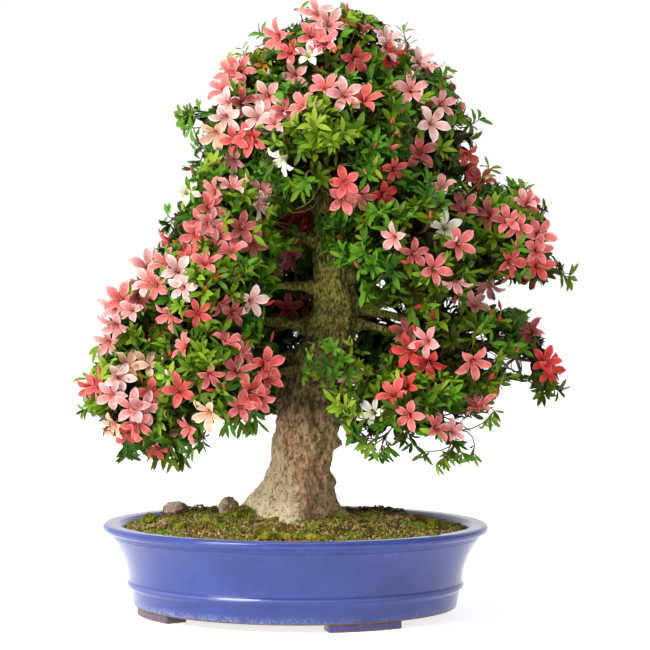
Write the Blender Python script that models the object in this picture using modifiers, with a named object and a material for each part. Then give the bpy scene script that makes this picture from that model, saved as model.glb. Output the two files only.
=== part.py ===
"""Azalea bonsai in full flower, standing in a glazed oval pot on four low feet.

Metres, +Z up, feet on z = 0. The pot, the soil, what lies on the soil, the trunk, each bough
and each mass of foliage are objects of their own. Sizes below are in millimetres and are
turned into metres as they are used. The pot's centre is the start of every measure, and at
the end the whole plant is moved so that its bounding box stands centred on the origin.
"""

import math
import random

import bmesh
import bpy
import numpy as np
from mathutils import Matrix, Vector

MM = 0.001
GAP = 0.3
WELD = 0.004

# Pot: an oval, a little longer than it is deep, turned on the table.
POT_TURN = math.radians(-20)
POT_RATIO = 0.933
RIM_RADIUS = 213.5
RIM_TOP = 98
LIP_WIDTH = 20
LIP_THICK = 9
BASE_RADIUS = 178.5
WALL_FOOT = 7.7
WALL_THICK = 8
FLOOR_TOP = 16
BELT_HEIGHT = 32
POT_STEPS = 40
FOOT_ANGLES = (45, 135, 225, 315)
FOOT_SPAN = 28
FOOT_WIDTH = 26
FOOT_INSET = 1.5

# Soil: a low mound with a level middle that the trunk stands on.
SOIL_LEVEL = 104
SOIL_LEVEL_RADIUS = 96
SOIL_EDGE = 92

# Trunk: height, x, y and half width at each station, from the flat cut at the soil to the tip.
TRUNK = (
    (104, 0, 2, 47),
    (114, 0, 2, 43),
    (126, 3, 1, 38.5),
    (140, 6, 0, 33.5),
    (158, 7, 0, 29),
    (178, 10, -1, 30),
    (208, 16, -2, 34),
    (232, 19, 0, 34),
    (256, 24, 2, 32.5),
    (280, 31, 4, 30),
    (304, 39, 4, 26),
    (330, 43, 2, 24),
    (362, 41, 0, 21.5),
    (392, 38, -1, 18),
    (420, 35, 0, 14),
    (450, 32.5, 1, 9.8),
    (494, 31.5, 2, 7.6),
    (538, 35, 1, 6),
    (572, 38, 0, 4.6),
)
TRUNK_SIDES = 18
TRUNK_RING_STEP = 17
FLUTE_COUNT = 5
FLUTE_DEPTH = 0.06

# Root flare: direction in degrees, angular width in degrees and extra reach at the soil.
ROOTS = ((185, 26, 17), (-12, 24, 13), (-98, 22, 27), (72, 30, 20), (232, 16, 9), (128, 20, 12))
FLARE_HEIGHT = 34

# Masses of foliage: centre, radii, height at which the bough leaves the trunk, bough radius.
MASSES = (
    ("apex", (35, 0, 601), (88, 70, 66), None, 4.6),
    ("shoulder_left", (-45, -5, 535), (75, 80, 70), 468, 4.6),
    ("shoulder_right", (127, 0, 531), (80, 82, 79), 450, 4.8),
    ("crown_front", (44, -82, 500), (85, 72, 79), 434, 4.6),
    ("crown_back", (39, 90, 504), (108, 78, 97), 442, 5.0),
    ("left_mid", (-80, -10, 433), (81, 88, 68), 402, 5.0),
    ("left_upper", (-92, -66, 353), (71, 76, 56), 353, 6.0),
    ("left_low", (-154, 15, 318), (69, 86, 73), 308, 7.0),
    ("left_tip", (-172, -10, 230), (68, 82, 68), 284, 5.5),
    ("left_front", (-77, -80, 258), (70, 76, 72), 262, 5.0),
    ("right_mid", (116, -72, 403), (79, 76, 77), 378, 5.0),
    ("right_tip", (223, 5, 409), (73, 80, 64), 362, 6.0),
    ("right_low", (170, -10, 293), (83, 86, 66), 318, 5.5),
    ("right_end", (257, 20, 275), (47, 58, 51), 334, 4.6),
    ("right_droop", (130, -50, 213), (78, 78, 63), 296, 5.0),
    ("front_sprig", (33, -80, 285), (40, 30, 30), 290, 3.6),
    ("back_left", (-82, 118, 287), (109, 80, 99), 324, 6.5),
    ("back_right", (142, 118, 304), (115, 80, 104), 342, 6.5),
    ("back_mid", (27, 118, 408), (109, 74, 86), 392, 5.5),
)
BOUGH_POINTS = 7
BOUGH_TIP_RADIUS = 2.8
BOUGH_REACH = 0.62
BOUGH_LONGEST = 0.6
BOUGH_RISE = 0.10
BOUGH_SWELL = 1.25
BOUGH_TAPER = 1.4

# Growth inside a mass: shoots stand out of a smaller dense core, and each ends in a blossom or
# a whorl of leaves. These are larger than life, as there are fewer of them.
CORE_REACH = 0.72
CORE_TO_NEIGHBOUR = 0.93
SHOOTS_AT_FULL_SIZE = 16
SHOOT_REACH = 0.84
SHORTER = (1, 0.9, 0.8, 0.72)
OPEN_SIDE = 0.62
SHOOT_RADIUS = 1.8
SHOOT_TAPER = 0.72
SHOOT_TILT = 0.35
CORE_ROUGHNESS = 0.06
STEM_SHARE = 0.95
BLOSSOM_SHARE = 0.52
SIZE_FOR_RADIUS = 62
SIZES = (0.6, 1.35)
LIMB_CLEARANCE = 1.2
SPACE_MARGIN = 0.4
OUTER_SLACK = 1.06
SEED = 2611
TRIES = 6

# One petal and one leaf: radius, place across the arm from 0 to 1, and rise. With them go how many
# there are, and the height of the middle above and below.
PETAL = ((11.5, 0, 1), (23, 0.5, 5))
PETALS, THROAT, CALYX = 5, 3, -9
LEAF = ((4.5, 0, 0), (17, 0.26, 5), (33, 0.5, 9), (17, 0.74, 5))
LEAVES, LEAF_MIDDLE, LEAF_STALK = 4, 3.5, -6

# Stones and cushions of moss: x and y, radii, and how deep the lowest point is in the soil.
STONES = (("stone_flat", (-134, 62), (15, 10, 8), 10), ("stone_pale", (-74, 16), (12, 14, 14), 14))
STONE_ROUGHNESS = 0.16
MOSS = (
    ("moss_foot", (-84, -44), (24, 18, 11), 8),
    ("moss_rim_left", (-163, 18), (16, 20, 12), 8),
    ("moss_rim_right", (150, -48), (18, 20, 12), 8),
)
MOSS_ROUGHNESS = 0.08


def clear_scene():
    for obj in list(bpy.data.objects):
        bpy.data.objects.remove(obj, do_unlink=True)


def new_collection(name, parent):
    collection = bpy.data.collections.new(name)
    parent.children.link(collection)
    return collection


def material(name, colour, roughness):
    made = bpy.data.materials.new(name)
    made.use_nodes = True
    shader = made.node_tree.nodes["Principled BSDF"]
    shader.inputs["Base Color"].default_value = (*colour, 1)
    shader.inputs["Roughness"].default_value = roughness
    made.diffuse_color = (*colour, 1)
    return made


def add_object(name, mesh, collection, *materials):
    obj = bpy.data.objects.new(name, mesh)
    collection.objects.link(obj)
    if materials and not mesh.materials:
        for each in materials:
            mesh.materials.append(each)
    return obj


def bake(obj):
    """Makes the object's evaluated shape its own mesh, in world space, with no modifier."""
    bpy.context.view_layer.update()
    mesh = bpy.data.meshes.new_from_object(obj.evaluated_get(bpy.context.evaluated_depsgraph_get()))
    mesh.transform(obj.matrix_world)
    name, collection = obj.name, obj.users_collection[0]
    bpy.data.objects.remove(obj, do_unlink=True)
    work = bmesh.new()
    work.from_mesh(mesh)
    bmesh.ops.remove_doubles(work, verts=work.verts, dist=WELD * MM)
    work.to_mesh(mesh)
    work.free()
    return add_object(name, mesh, collection)


def boolean(obj, operation, operand):
    """Applies one Boolean with an object or a collection, and returns the new object."""
    modifier = obj.modifiers.new(operation.lower(), "BOOLEAN")
    modifier.operation = operation
    modifier.solver = "EXACT"
    modifier.material_mode = "TRANSFER"
    if isinstance(operand, bpy.types.Collection):
        modifier.operand_type = "COLLECTION"
        modifier.collection = operand
    else:
        modifier.object = operand
    return bake(obj)


def keep_main_body(obj):
    """Drops loose scraps and fills sealed hollows: only the largest closed surface stays."""
    work = bmesh.new()
    work.from_mesh(obj.data)
    bmesh.ops.triangulate(work, faces=work.faces)
    left = set(work.faces)
    bodies = []
    while left:
        body = [left.pop()]
        for face in body:
            for edge in face.edges:
                for other in edge.link_faces:
                    if len(edge.link_faces) == 2 and other in left:
                        left.remove(other)
                        body.append(other)
        bodies.append(body)
    bodies.sort(key=len)
    for body in bodies[:-1]:
        bmesh.ops.delete(work, geom=body, context="FACES")
    work.to_mesh(obj.data)
    work.free()


def is_closed(obj):
    """True where every edge lies between two faces, so that the surface bounds one solid."""
    work = bmesh.new()
    work.from_mesh(obj.data)
    closed = len(work.edges) > 0 and all(edge.is_manifold for edge in work.edges)
    work.free()
    return closed


def loft(name, rings):
    """A closed mesh through rings of equal length, each ring a list of points, flat at both ends."""
    mesh = bpy.data.meshes.new(name)
    work = bmesh.new()
    rows = [[work.verts.new(point) for point in ring] for ring in rings]
    count = len(rows[0])
    for low, high in zip(rows, rows[1:]):
        for k in range(count):
            after = (k + 1) % count
            work.faces.new((low[k], low[after], high[after], high[k]))
    work.faces.new(reversed(rows[0]))
    work.faces.new(rows[-1])
    bmesh.ops.recalc_face_normals(work, faces=work.faces)
    work.to_mesh(mesh)
    work.free()
    return mesh


def turned(name, profile, collection, surface):
    """Turns a profile of (radius, height) about Z, and squeezes it to the pot's oval."""
    mesh = bpy.data.meshes.new(name)
    points = [(radius * MM, 0, height * MM) for radius, height in profile]
    mesh.from_pydata(points, [(k, k + 1) for k in range(len(points) - 1)], [])
    obj = add_object(name, mesh, collection, surface)
    screw = obj.modifiers.new("turn", "SCREW")
    screw.steps = POT_STEPS
    screw.render_steps = POT_STEPS
    screw.use_merge_vertices = True
    screw.merge_threshold = 0.0001
    obj.scale = (1, POT_RATIO, 1)
    obj.rotation_euler = (0, 0, POT_TURN)
    return bake(obj)


def wall_profile():
    """The pot's outer side from under the lip to its foot: a hollow flare, a belt and a step in."""
    top = RIM_TOP - LIP_THICK - 2
    under_lip = RIM_RADIUS - LIP_WIDTH / 2
    above_belt = BELT_HEIGHT + 4
    flare_end = BASE_RADIUS + 6.5
    points = []
    for k in range(6):
        part = k / 5
        height = top + (above_belt - top) * part
        points.append((flare_end + (under_lip - flare_end) * (1 - part) ** 1.9, height))
    points += [
        (flare_end + 1.6, BELT_HEIGHT + 2),
        (flare_end + 1.6, BELT_HEIGHT - 1),
        (flare_end - 2.6, BELT_HEIGHT - 4),
        (BASE_RADIUS + 1.5, WALL_FOOT + 8),
        (BASE_RADIUS, WALL_FOOT),
    ]
    return points


def inner_radius(height):
    """Radius of the pot's inner wall at a height."""
    part = (height - FLOOR_TOP) / (RIM_TOP - FLOOR_TOP)
    low, high = BASE_RADIUS - WALL_THICK - 3, RIM_RADIUS - LIP_WIDTH
    return low + (high - low) * part**1.35


def make_pot(collection, helpers, glaze):
    inner = [(inner_radius(height), height) for height in (FLOOR_TOP, 45, 72, RIM_TOP - 2)]
    lip = [
        (RIM_RADIUS - LIP_WIDTH + 2, RIM_TOP),
        (RIM_RADIUS - 3, RIM_TOP),
        (RIM_RADIUS, RIM_TOP - 2.5),
        (RIM_RADIUS, RIM_TOP - LIP_THICK + 2),
        (RIM_RADIUS - 3, RIM_TOP - LIP_THICK),
    ]
    profile = [(0, FLOOR_TOP), *inner, *lip, *wall_profile(), (0, WALL_FOOT)]
    pot = turned("pot", profile, collection, glaze)
    feet = new_collection("feet", helpers)
    for number, angle in enumerate(FOOT_ANGLES):
        make_foot(f"foot_{number}", angle, feet, glaze)
    pot = boolean(pot, "UNION", feet)
    for foot in list(feet.objects):
        bpy.data.objects.remove(foot, do_unlink=True)
    return pot


def make_foot(name, angle, collection, glaze):
    """One low foot: a stretch of the oval's edge as a flat outline, raised from the table."""
    outer = BASE_RADIUS - FOOT_INSET
    steps = 7
    spread = [math.radians(angle + FOOT_SPAN * (k / (steps - 1) - 0.5)) for k in range(steps)]
    outline = [(outer, turn) for turn in spread]
    outline += [(outer - FOOT_WIDTH, turn) for turn in reversed(spread)]
    curve = bpy.data.curves.new(name, "CURVE")
    curve.dimensions = "2D"
    curve.fill_mode = "BOTH"
    top = WALL_FOOT + 2
    curve.extrude = top / 2 * MM
    spline = curve.splines.new("POLY")
    spline.points.add(len(outline) - 1)
    spline.use_cyclic_u = True
    for point, (radius, turn) in zip(spline.points, outline):
        x, y = radius * math.cos(turn), radius * math.sin(turn) * POT_RATIO
        point.co = (x * MM, y * MM, 0, 1)
    foot = bpy.data.objects.new(name, curve)
    collection.objects.link(foot)
    foot.location.z = top / 2 * MM
    foot.rotation_euler.z = POT_TURN
    curve.materials.append(glaze)
    return bake(foot)


def soil_profile(raised=0):
    """The mound from its level middle to the wall, then down inside the pot."""
    slope = []
    edge_radius = inner_radius(SOIL_EDGE) - GAP
    for k in range(6):
        part = k / 5
        height = SOIL_EDGE + (SOIL_LEVEL - SOIL_EDGE) * (1 + math.cos(math.pi * part)) / 2
        slope.append((SOIL_LEVEL_RADIUS + (edge_radius - SOIL_LEVEL_RADIUS) * part, height + raised))
    side = [(inner_radius(height) - GAP, height) for height in (72, 45, FLOOR_TOP + GAP)]
    return [(0, SOIL_LEVEL + raised), *slope, *side, (0, FLOOR_TOP + GAP)]


def soil_height(x, y):
    """Height of the mound at a place on it, in millimetres."""
    local = Matrix.Rotation(-POT_TURN, 2) @ Vector((x, y))
    radius = math.hypot(local.x, local.y / POT_RATIO)
    edge_radius = inner_radius(SOIL_EDGE) - GAP
    part = (radius - SOIL_LEVEL_RADIUS) / (edge_radius - SOIL_LEVEL_RADIUS)
    part = min(max(part, 0), 1)
    return SOIL_EDGE + (SOIL_LEVEL - SOIL_EDGE) * (1 + math.cos(math.pi * part)) / 2


def make_lump(name, place, radii, sink, collection, surface, cutter, rough, rng):
    """A stone or a cushion of moss, sunk a little and cut along the soil's surface."""
    mesh = bpy.data.meshes.new(name)
    work = bmesh.new()
    bmesh.ops.create_icosphere(work, subdivisions=2, radius=1)
    for vert in work.verts:
        vert.co *= 1 + rng.uniform(-rough, rough)
    work.to_mesh(mesh)
    work.free()
    lump = add_object(name, mesh, collection, surface)
    lump.scale = [radius * MM for radius in radii]
    lump.rotation_euler.z = rng.uniform(0, math.pi)
    lump.location = (place[0] * MM, place[1] * MM, (soil_height(*place) + radii[2] - sink) * MM)
    lump = boolean(bake(lump), "DIFFERENCE", cutter)
    keep_main_body(lump)
    return lump


def trunk_at(height):
    """Centre and half width of the trunk at a height, eased between its stations."""
    rows = np.array(TRUNK, float)
    heights = rows[:, 0]
    height = min(max(height, heights[0]), heights[-1])
    k = min(int(np.searchsorted(heights, height, "right")) - 1, len(rows) - 2)
    part = (height - heights[k]) / (heights[k + 1] - heights[k])
    before, after = rows[max(k - 1, 0)], rows[min(k + 2, len(rows) - 1)]
    low, high = rows[k], rows[k + 1]
    step = high[0] - low[0]
    slope_low = (high - before) / (high[0] - before[0]) * step
    slope_high = (after - low) / (after[0] - low[0]) * step
    eased = (
        (2 * part**3 - 3 * part**2 + 1) * low
        + (part**3 - 2 * part**2 + part) * slope_low
        + (3 * part**2 - 2 * part**3) * high
        + (part**3 - part**2) * slope_high
    )
    return Vector((eased[1], eased[2], height)), eased[3]


def trunk_ring(height, more=0.0):
    """One level ring of the trunk: shallow flutes all the way, and roots that spread at the foot."""
    centre, half = trunk_at(height)
    flare = max(0.0, 1 - (height - TRUNK[0][0]) / FLARE_HEIGHT) ** 1.6
    ring = []
    for k in range(TRUNK_SIDES):
        angle = math.tau * k / TRUNK_SIDES
        radius = half * (1 + FLUTE_DEPTH * math.cos(FLUTE_COUNT * angle + height / 60))
        for direction, width, reach in ROOTS:
            away = (math.degrees(angle) - direction + 180) % 360 - 180
            radius += reach * flare * math.exp(-((away / width) ** 2))
        radius += more
        place = centre + Vector((radius * math.cos(angle), radius * math.sin(angle), 0))
        ring.append(place * MM)
    return ring


def trunk_rings(more=0.0, below=0.0, above=0.0):
    low, high = TRUNK[0][0] + GAP, TRUNK[-1][0]
    count = round((high - low) / TRUNK_RING_STEP)
    rings = [trunk_ring(low + (high - low) * k / count, more) for k in range(count + 1)]
    if below:
        rings.insert(0, [point - Vector((0, 0, below * MM)) for point in rings[0]])
    if above:
        rings.append([point + Vector((0, 0, above * MM)) for point in rings[-1]])
    return rings


class Limbs:
    """The trunk and boughs as tapering segments, to keep twigs and leaves clear of them."""

    def __init__(self):
        self.starts, self.ends, self.first, self.last = [], [], [], []

    def add(self, path, radii):
        for k in range(len(path) - 1):
            self.starts.append(path[k])
            self.ends.append(path[k + 1])
            self.first.append(radii[k])
            self.last.append(radii[k + 1])

    def gap(self, points, without=()):
        """The least clearance between any of the points and any limb."""
        keep = np.array([k not in without for k in range(len(self.starts))])
        starts = np.array(self.starts)[keep]
        along = np.array(self.ends)[keep] - starts
        first, last = np.array(self.first)[keep], np.array(self.last)[keep]
        points = np.array(points)
        away = points[:, None, :] - starts[None]
        part = np.clip((away * along).sum(2) / (along * along).sum(1), 0, 1)
        nearest = starts + part[..., None] * along
        distance = np.linalg.norm(points[:, None, :] - nearest, axis=2)
        return (distance - first - (last - first) * part).min()


class Space:
    """The room of one mass: its ellipsoid, cut by a plane towards each neighbour."""

    def __init__(self, centre, radii):
        self.centre, self.radii = np.array(centre, float), np.array(radii, float)
        self.planes = []

    def support(self, direction):
        return np.linalg.norm(self.radii * direction)

    def full(self, direction):
        """How far the ellipsoid alone goes along a direction."""
        return 1 / np.linalg.norm(np.array(direction) / self.radii)

    def part_from(self, other):
        apart = other.centre - self.centre
        distance = np.linalg.norm(apart)
        direction = apart / distance
        mine, theirs = self.support(direction), other.support(direction)
        if mine + theirs > distance:
            self.planes.append((direction, distance * mine / (mine + theirs) - SPACE_MARGIN))

    def reach(self, direction):
        """How far a ray from the centre goes before it leaves the room."""
        distance = self.full(direction)
        for normal, limit in self.planes:
            towards = normal @ np.array(direction)
            if towards > 1e-6:
                distance = min(distance, limit / towards)
        return distance

    def holds(self, points):
        away = np.array(points) - self.centre
        if (((away / self.radii) ** 2).sum(1) > OUTER_SLACK**2).any():
            return False
        return all((away @ normal <= limit).all() for normal, limit in self.planes)


def bough_path(centre, radii, leaves_at):
    """The bough from the trunk's middle to the near side of its mass, bowed up along the way."""
    start, _ = trunk_at(leaves_at)
    centre = Vector(centre)
    back = start - centre
    scale = 1 / math.sqrt(sum((back[k] / radii[k]) ** 2 for k in range(3)))
    tip = centre + back * min(scale * BOUGH_REACH, BOUGH_LONGEST)
    middle = (start + tip) / 2 + Vector((0, 0, BOUGH_RISE * (tip - start).length))
    path = []
    for k in range(BOUGH_POINTS):
        part = k / (BOUGH_POINTS - 1)
        path.append(start * (1 - part) ** 2 + middle * 2 * part * (1 - part) + tip * part**2)
    return path


def bough_radii(thick):
    swell = thick * BOUGH_SWELL - BOUGH_TIP_RADIUS
    parts = [1 - k / (BOUGH_POINTS - 1) for k in range(BOUGH_POINTS)]
    return [BOUGH_TIP_RADIUS + swell * part**BOUGH_TAPER for part in parts]


def tube(name, path, radii, collection, bark):
    """A tapering tube with closed ends, as a mesh."""
    curve = bpy.data.curves.new(name, "CURVE")
    curve.dimensions = "3D"
    curve.bevel_depth = MM
    curve.bevel_resolution = 1
    curve.use_fill_caps = True
    spline = curve.splines.new("POLY")
    spline.points.add(len(path) - 1)
    for point, place, radius in zip(spline.points, path, radii):
        point.co = (*(place * MM), 1)
        point.radius = radius
    limb = bpy.data.objects.new(name, curve)
    collection.objects.link(limb)
    curve.materials.append(bark)
    return bake(limb)


def make_bough(name, path, radii, collection, bark, trunk_cutter):
    """A tapering limb whose root is cut to the trunk's side."""
    bough = boolean(tube(name, path, radii, collection, bark), "DIFFERENCE", trunk_cutter)
    keep_main_body(bough)
    return bough


def make_bough_cutter(name, path, radii, collection, bark):
    """The same limb a little fatter and longer, to cut a core clear of it."""
    ahead = (path[-1] - path[-2]).normalized() * LIMB_CLEARANCE
    fatter = [radius + LIMB_CLEARANCE for radius in radii]
    return tube(name, [*path[:-1], path[-1] + ahead], fatter, collection, bark)


def twig_mesh(name, path, radii):
    """A three-sided twig through a path, its rings turned with the path and never twisted."""
    rings = []
    ahead = (path[1] - path[0]).normalized()
    turn = ahead.to_track_quat("Z", "Y").to_matrix()
    for k, place in enumerate(path):
        onward = (path[min(k + 1, len(path) - 1)] - path[max(k - 1, 0)]).normalized()
        if k:
            turn = ahead.rotation_difference(onward).to_matrix() @ turn
            ahead = onward
        ring = []
        for side in range(3):
            angle = math.tau * side / 3
            ring.append((place + turn @ Vector((math.cos(angle), math.sin(angle), 0)) * radii[k]) * MM)
        rings.append(ring)
    return loft(name, rings)


def star_mesh(name, arms, arm, top, bottom, surface):
    """A closed star that opens along +Z. Its arms are ridged above and flat below."""
    mesh = bpy.data.meshes.new(name)
    work = bmesh.new()
    upper, lower = (work.verts.new((0, 0, height * MM)) for height in (top, bottom))
    ring = []
    for k in range(arms):
        for radius, across, rise in arm:
            angle = math.tau * (k + across) / arms
            place = Vector((radius * math.cos(angle), radius * math.sin(angle), rise))
            ring.append(work.verts.new(place * MM))
    for k, vert in enumerate(ring):
        work.faces.new((upper, vert, ring[(k + 1) % len(ring)]))
    for k in range(arms):
        blade = [ring[(k * len(arm) + step) % len(ring)] for step in range(len(arm) + 1)]
        work.faces.new((lower, blade[-1], blade[0]))
        work.faces.new(reversed(blade))
    bmesh.ops.triangulate(work, faces=work.faces)
    bmesh.ops.recalc_face_normals(work, faces=work.faces)
    work.to_mesh(mesh)
    work.free()
    mesh.materials.append(surface)
    return mesh


def face_samples(mesh):
    """Points spread over a mesh's faces, in millimetres, for tests of clearance."""
    mesh.calc_loop_triangles()
    parts = [(a / 4, b / 4, 1 - a / 4 - b / 4) for a in range(5) for b in range(5 - a)]
    points = []
    for triangle in mesh.loop_triangles:
        corners = [mesh.vertices[k].co / MM for k in triangle.vertices]
        for weights in parts:
            points.append(sum((corner * weight for corner, weight in zip(corners, weights)), Vector()))
    return points


def even_directions(count, turn):
    """Directions spread evenly over a sphere along a spiral."""
    golden = math.pi * (3 - math.sqrt(5))
    for k in range(count):
        rise = 1 - 2 * (k + 0.5) / count
        flat = math.sqrt(1 - rise * rise)
        angle = golden * k + turn
        yield Vector((flat * math.cos(angle), flat * math.sin(angle), rise))


def aim(place, outward, roll, size):
    """A matrix that puts a star at a place, open towards a direction and rolled about it."""
    turn = outward.to_track_quat("Z", "Y").to_matrix().to_4x4()
    return Matrix.Translation(place * MM) @ turn @ Matrix.Rotation(roll, 4, "Z") @ Matrix.Scale(size, 4)


class Mass:
    """One mass of foliage: a stem that forks into shoots, which carry leaves and blossoms."""

    def __init__(self, name, space, limbs, shapes, rng):
        self.name, self.space, self.limbs = name, space, limbs
        self.shapes, self.rng, self.pieces = shapes, rng, None
        size = float(np.cbrt(np.prod(space.radii))) / SIZE_FOR_RADIUS
        self.size = min(max(size, SIZES[0]), SIZES[1])

    def add_core(self, leaf_green, limb_cutters):
        """The dense inside: a faceted ball within the room, cut clear of every limb."""
        mesh = bpy.data.meshes.new("core")
        work = bmesh.new()
        bmesh.ops.create_icosphere(work, subdivisions=1, radius=1)
        for vert in work.verts:
            direction = vert.co.normalized()
            uneven = 1 + self.rng.uniform(-CORE_ROUGHNESS, CORE_ROUGHNESS)
            outward = self.space.full(direction) * CORE_REACH * uneven
            towards = self.space.reach(direction) * CORE_TO_NEIGHBOUR
            vert.co = (Vector(self.space.centre) + direction * min(outward, towards)) * MM
        work.to_mesh(mesh)
        work.free()
        core = add_object(f"{self.name}_core", mesh, self.pieces, leaf_green)
        return boolean(core, "DIFFERENCE", limb_cutters)

    def twig_is_clear(self, path, radius):
        points = [a.lerp(b, part / 8) for a, b in zip(path, path[1:]) for part in range(9)]
        return self.limbs.gap(points) > radius + LIMB_CLEARANCE

    def add_piece(self, kind, matrix):
        """Adds a blossom or a whorl, unless it would leave the room or touch a limb."""
        mesh, samples = self.shapes[kind]
        places = [matrix @ (point * MM) / MM for point in samples]
        if not self.space.holds(places) or self.limbs.gap(places) < LIMB_CLEARANCE:
            return False
        piece = add_object(f"{self.name}_{kind}", mesh, self.pieces)
        piece.matrix_world = matrix
        return True

    def add_shoot(self, number, hub, stem_start, direction, bark):
        """A shoot with a blossom or a whorl at its end, shortened until that finds room."""
        reach = self.space.reach(direction)
        if reach < self.space.full(direction) * OPEN_SIDE:
            return
        centre = Vector(self.space.centre)
        kind = "blossom" if self.rng.random() < BLOSSOM_SHARE else "whorl"
        back = hub - stem_start
        for shorter in SHORTER:
            end = centre + direction * reach * SHOOT_REACH * shorter
            slide = min(max((end - hub).dot(back.normalized()), -back.length * 0.4), 0)
            path = [hub + back.normalized() * slide, end]
            tilt = Vector(self.rng.uniform(-SHOOT_TILT, SHOOT_TILT) for _ in range(3))
            outward = ((end - path[0]).normalized() + direction + tilt).normalized()
            roll, size = self.rng.uniform(0, math.tau), self.size * (0.55 + 0.45 * shorter)
            if not self.twig_is_clear(path, SHOOT_RADIUS):
                continue
            if self.add_piece(kind, aim(end + outward * size, outward, roll, size)):
                name = f"{self.name}_shoot_{number}"
                mesh = twig_mesh(name, path, [SHOOT_RADIUS, SHOOT_RADIUS * SHOOT_TAPER])
                add_object(name, mesh, self.pieces, bark)
                return

    def grow(self, tip, ahead, start_radius, bark):
        """Grows the stem on from a limb's tip, then the shoots from the stem."""
        start = tip + ahead * GAP
        hub = Vector(self.space.centre).lerp(start, 0.15)
        bend = start + ahead * (hub - start).length * 0.35
        stem_radii = [start_radius, start_radius * 0.9, start_radius * 0.8]
        stem = add_object(self.name, twig_mesh(self.name, [start, bend, hub], stem_radii), self.pieces, bark)
        count = round(SHOOTS_AT_FULL_SIZE * min(self.size, 1))
        for number, direction in enumerate(even_directions(count, self.rng.uniform(0, 6))):
            self.add_shoot(number, hub, bend, direction, bark)
        return stem


def joined_mass(mass, tip, surfaces, limb_cutters, collection, helpers):
    """Grows one mass, and joins its pieces into one body in the plant's collection."""
    bark, leaf_green = surfaces
    mass.pieces = new_collection(f"{mass.name}_pieces", helpers)
    mass.add_core(leaf_green, limb_cutters)
    stem = mass.grow(*tip, bark)
    mass.pieces.objects.unlink(stem)
    collection.objects.link(stem)
    joined = boolean(stem, "UNION", mass.pieces)
    for piece in list(mass.pieces.objects):
        bpy.data.objects.remove(piece, do_unlink=True)
    bpy.data.collections.remove(mass.pieces)
    keep_main_body(joined)
    return joined


def make_mass(name, number, space, limbs, shapes, *rest):
    """Grows a mass from its own seed, and from the next where two pieces touch along an edge."""
    for attempt in range(TRIES):
        rng = random.Random(SEED + 100 * number + attempt)
        joined = joined_mass(Mass(name, space, limbs, shapes, rng), *rest)
        if is_closed(joined):
            return
        bpy.data.objects.remove(joined, do_unlink=True)


def centre_on_origin(plant):
    """Hangs every part on one empty, and moves it until the bounding box stands centred."""
    bpy.context.view_layer.update()
    corners = [obj.matrix_world @ Vector(corner) for obj in plant.objects for corner in obj.bound_box]
    stand = bpy.data.objects.new("stand", None)
    for obj in list(plant.objects):
        obj.parent = stand
    plant.objects.link(stand)
    for axis in (0, 1):
        values = [corner[axis] for corner in corners]
        stand.location[axis] = -(min(values) + max(values)) / 2


def main():
    clear_scene()
    scene = bpy.context.scene
    plant = new_collection("azalea_bonsai", scene.collection)
    helpers = new_collection("cutters", scene.collection)

    glaze = material("blue_glaze", (0.16, 0.22, 0.55), 0.16)
    earth = material("mossy_soil", (0.24, 0.22, 0.08), 0.95)
    stone = material("stone", (0.42, 0.34, 0.28), 0.8)
    moss = material("moss", (0.16, 0.30, 0.04), 0.95)
    bark = material("bark", (0.30, 0.20, 0.12), 0.85)
    leaf_green = material("leaf", (0.10, 0.24, 0.04), 0.5)
    petal_pink = material("petal", (0.85, 0.25, 0.22), 0.6)

    make_pot(plant, helpers, glaze)
    turned("soil", soil_profile(), plant, earth)
    soil_cutter = turned("soil_cutter", soil_profile(raised=GAP), helpers, earth)
    rng = random.Random(SEED)
    for name, place, radii, sink in STONES:
        make_lump(name, place, radii, sink, plant, stone, soil_cutter, STONE_ROUGHNESS, rng)
    for name, place, radii, sink in MOSS:
        make_lump(name, place, radii, sink, plant, moss, soil_cutter, MOSS_ROUGHNESS, rng)

    limbs = Limbs()
    limb_cutters = new_collection("limb_cutters", helpers)
    add_object("trunk", loft("trunk", trunk_rings()), plant, bark)
    trunk_cutter = add_object("trunk_cutter", loft("trunk_cutter", trunk_rings(GAP, 20, 20)), helpers, bark)
    around_trunk = loft("around_trunk", trunk_rings(LIMB_CLEARANCE, 20, LIMB_CLEARANCE))
    add_object("around_trunk", around_trunk, limb_cutters, bark)
    stations = [trunk_at(height) for height in range(TRUNK[0][0], TRUNK[-1][0] + 1, 9)]
    widest = [half * (1 + FLUTE_DEPTH) for _, half in stations]
    limbs.add([centre for centre, _ in stations], widest)

    tips = {}
    for name, centre, radii, leaves_at, thick in MASSES:
        if leaves_at is None:
            end, half = trunk_at(TRUNK[-1][0])
            tips[name] = (end, Vector((0, 0, 1)), half * STEM_SHARE)
            continue
        path, widths = bough_path(centre, radii, leaves_at), bough_radii(thick)
        limbs.add(path, widths)
        make_bough(f"bough_{name}", path, widths, plant, bark, trunk_cutter)
        make_bough_cutter(f"around_{name}", path, widths, limb_cutters, bark)
        tips[name] = (path[-1], (path[-1] - path[-2]).normalized(), widths[-1] * STEM_SHARE)

    blossom = star_mesh("blossom", PETALS, PETAL, THROAT, CALYX, petal_pink)
    whorl = star_mesh("whorl", LEAVES, LEAF, LEAF_MIDDLE, LEAF_STALK, leaf_green)
    shapes = {"blossom": (blossom, face_samples(blossom)), "whorl": (whorl, face_samples(whorl))}
    spaces = {name: Space(centre, radii) for name, centre, radii, _, _ in MASSES}
    for number, (name, space) in enumerate(spaces.items()):
        for other_name, other in spaces.items():
            if other_name != name:
                space.part_from(other)
        rest = (tips[name], (bark, leaf_green), limb_cutters, plant, helpers)
        make_mass(f"mass_{name}", number, space, limbs, shapes, *rest)

    for cutter in helpers.all_objects:
        cutter.hide_render = True
        cutter.display_type = "WIRE"
    centre_on_origin(plant)


main()
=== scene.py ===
import math

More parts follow.
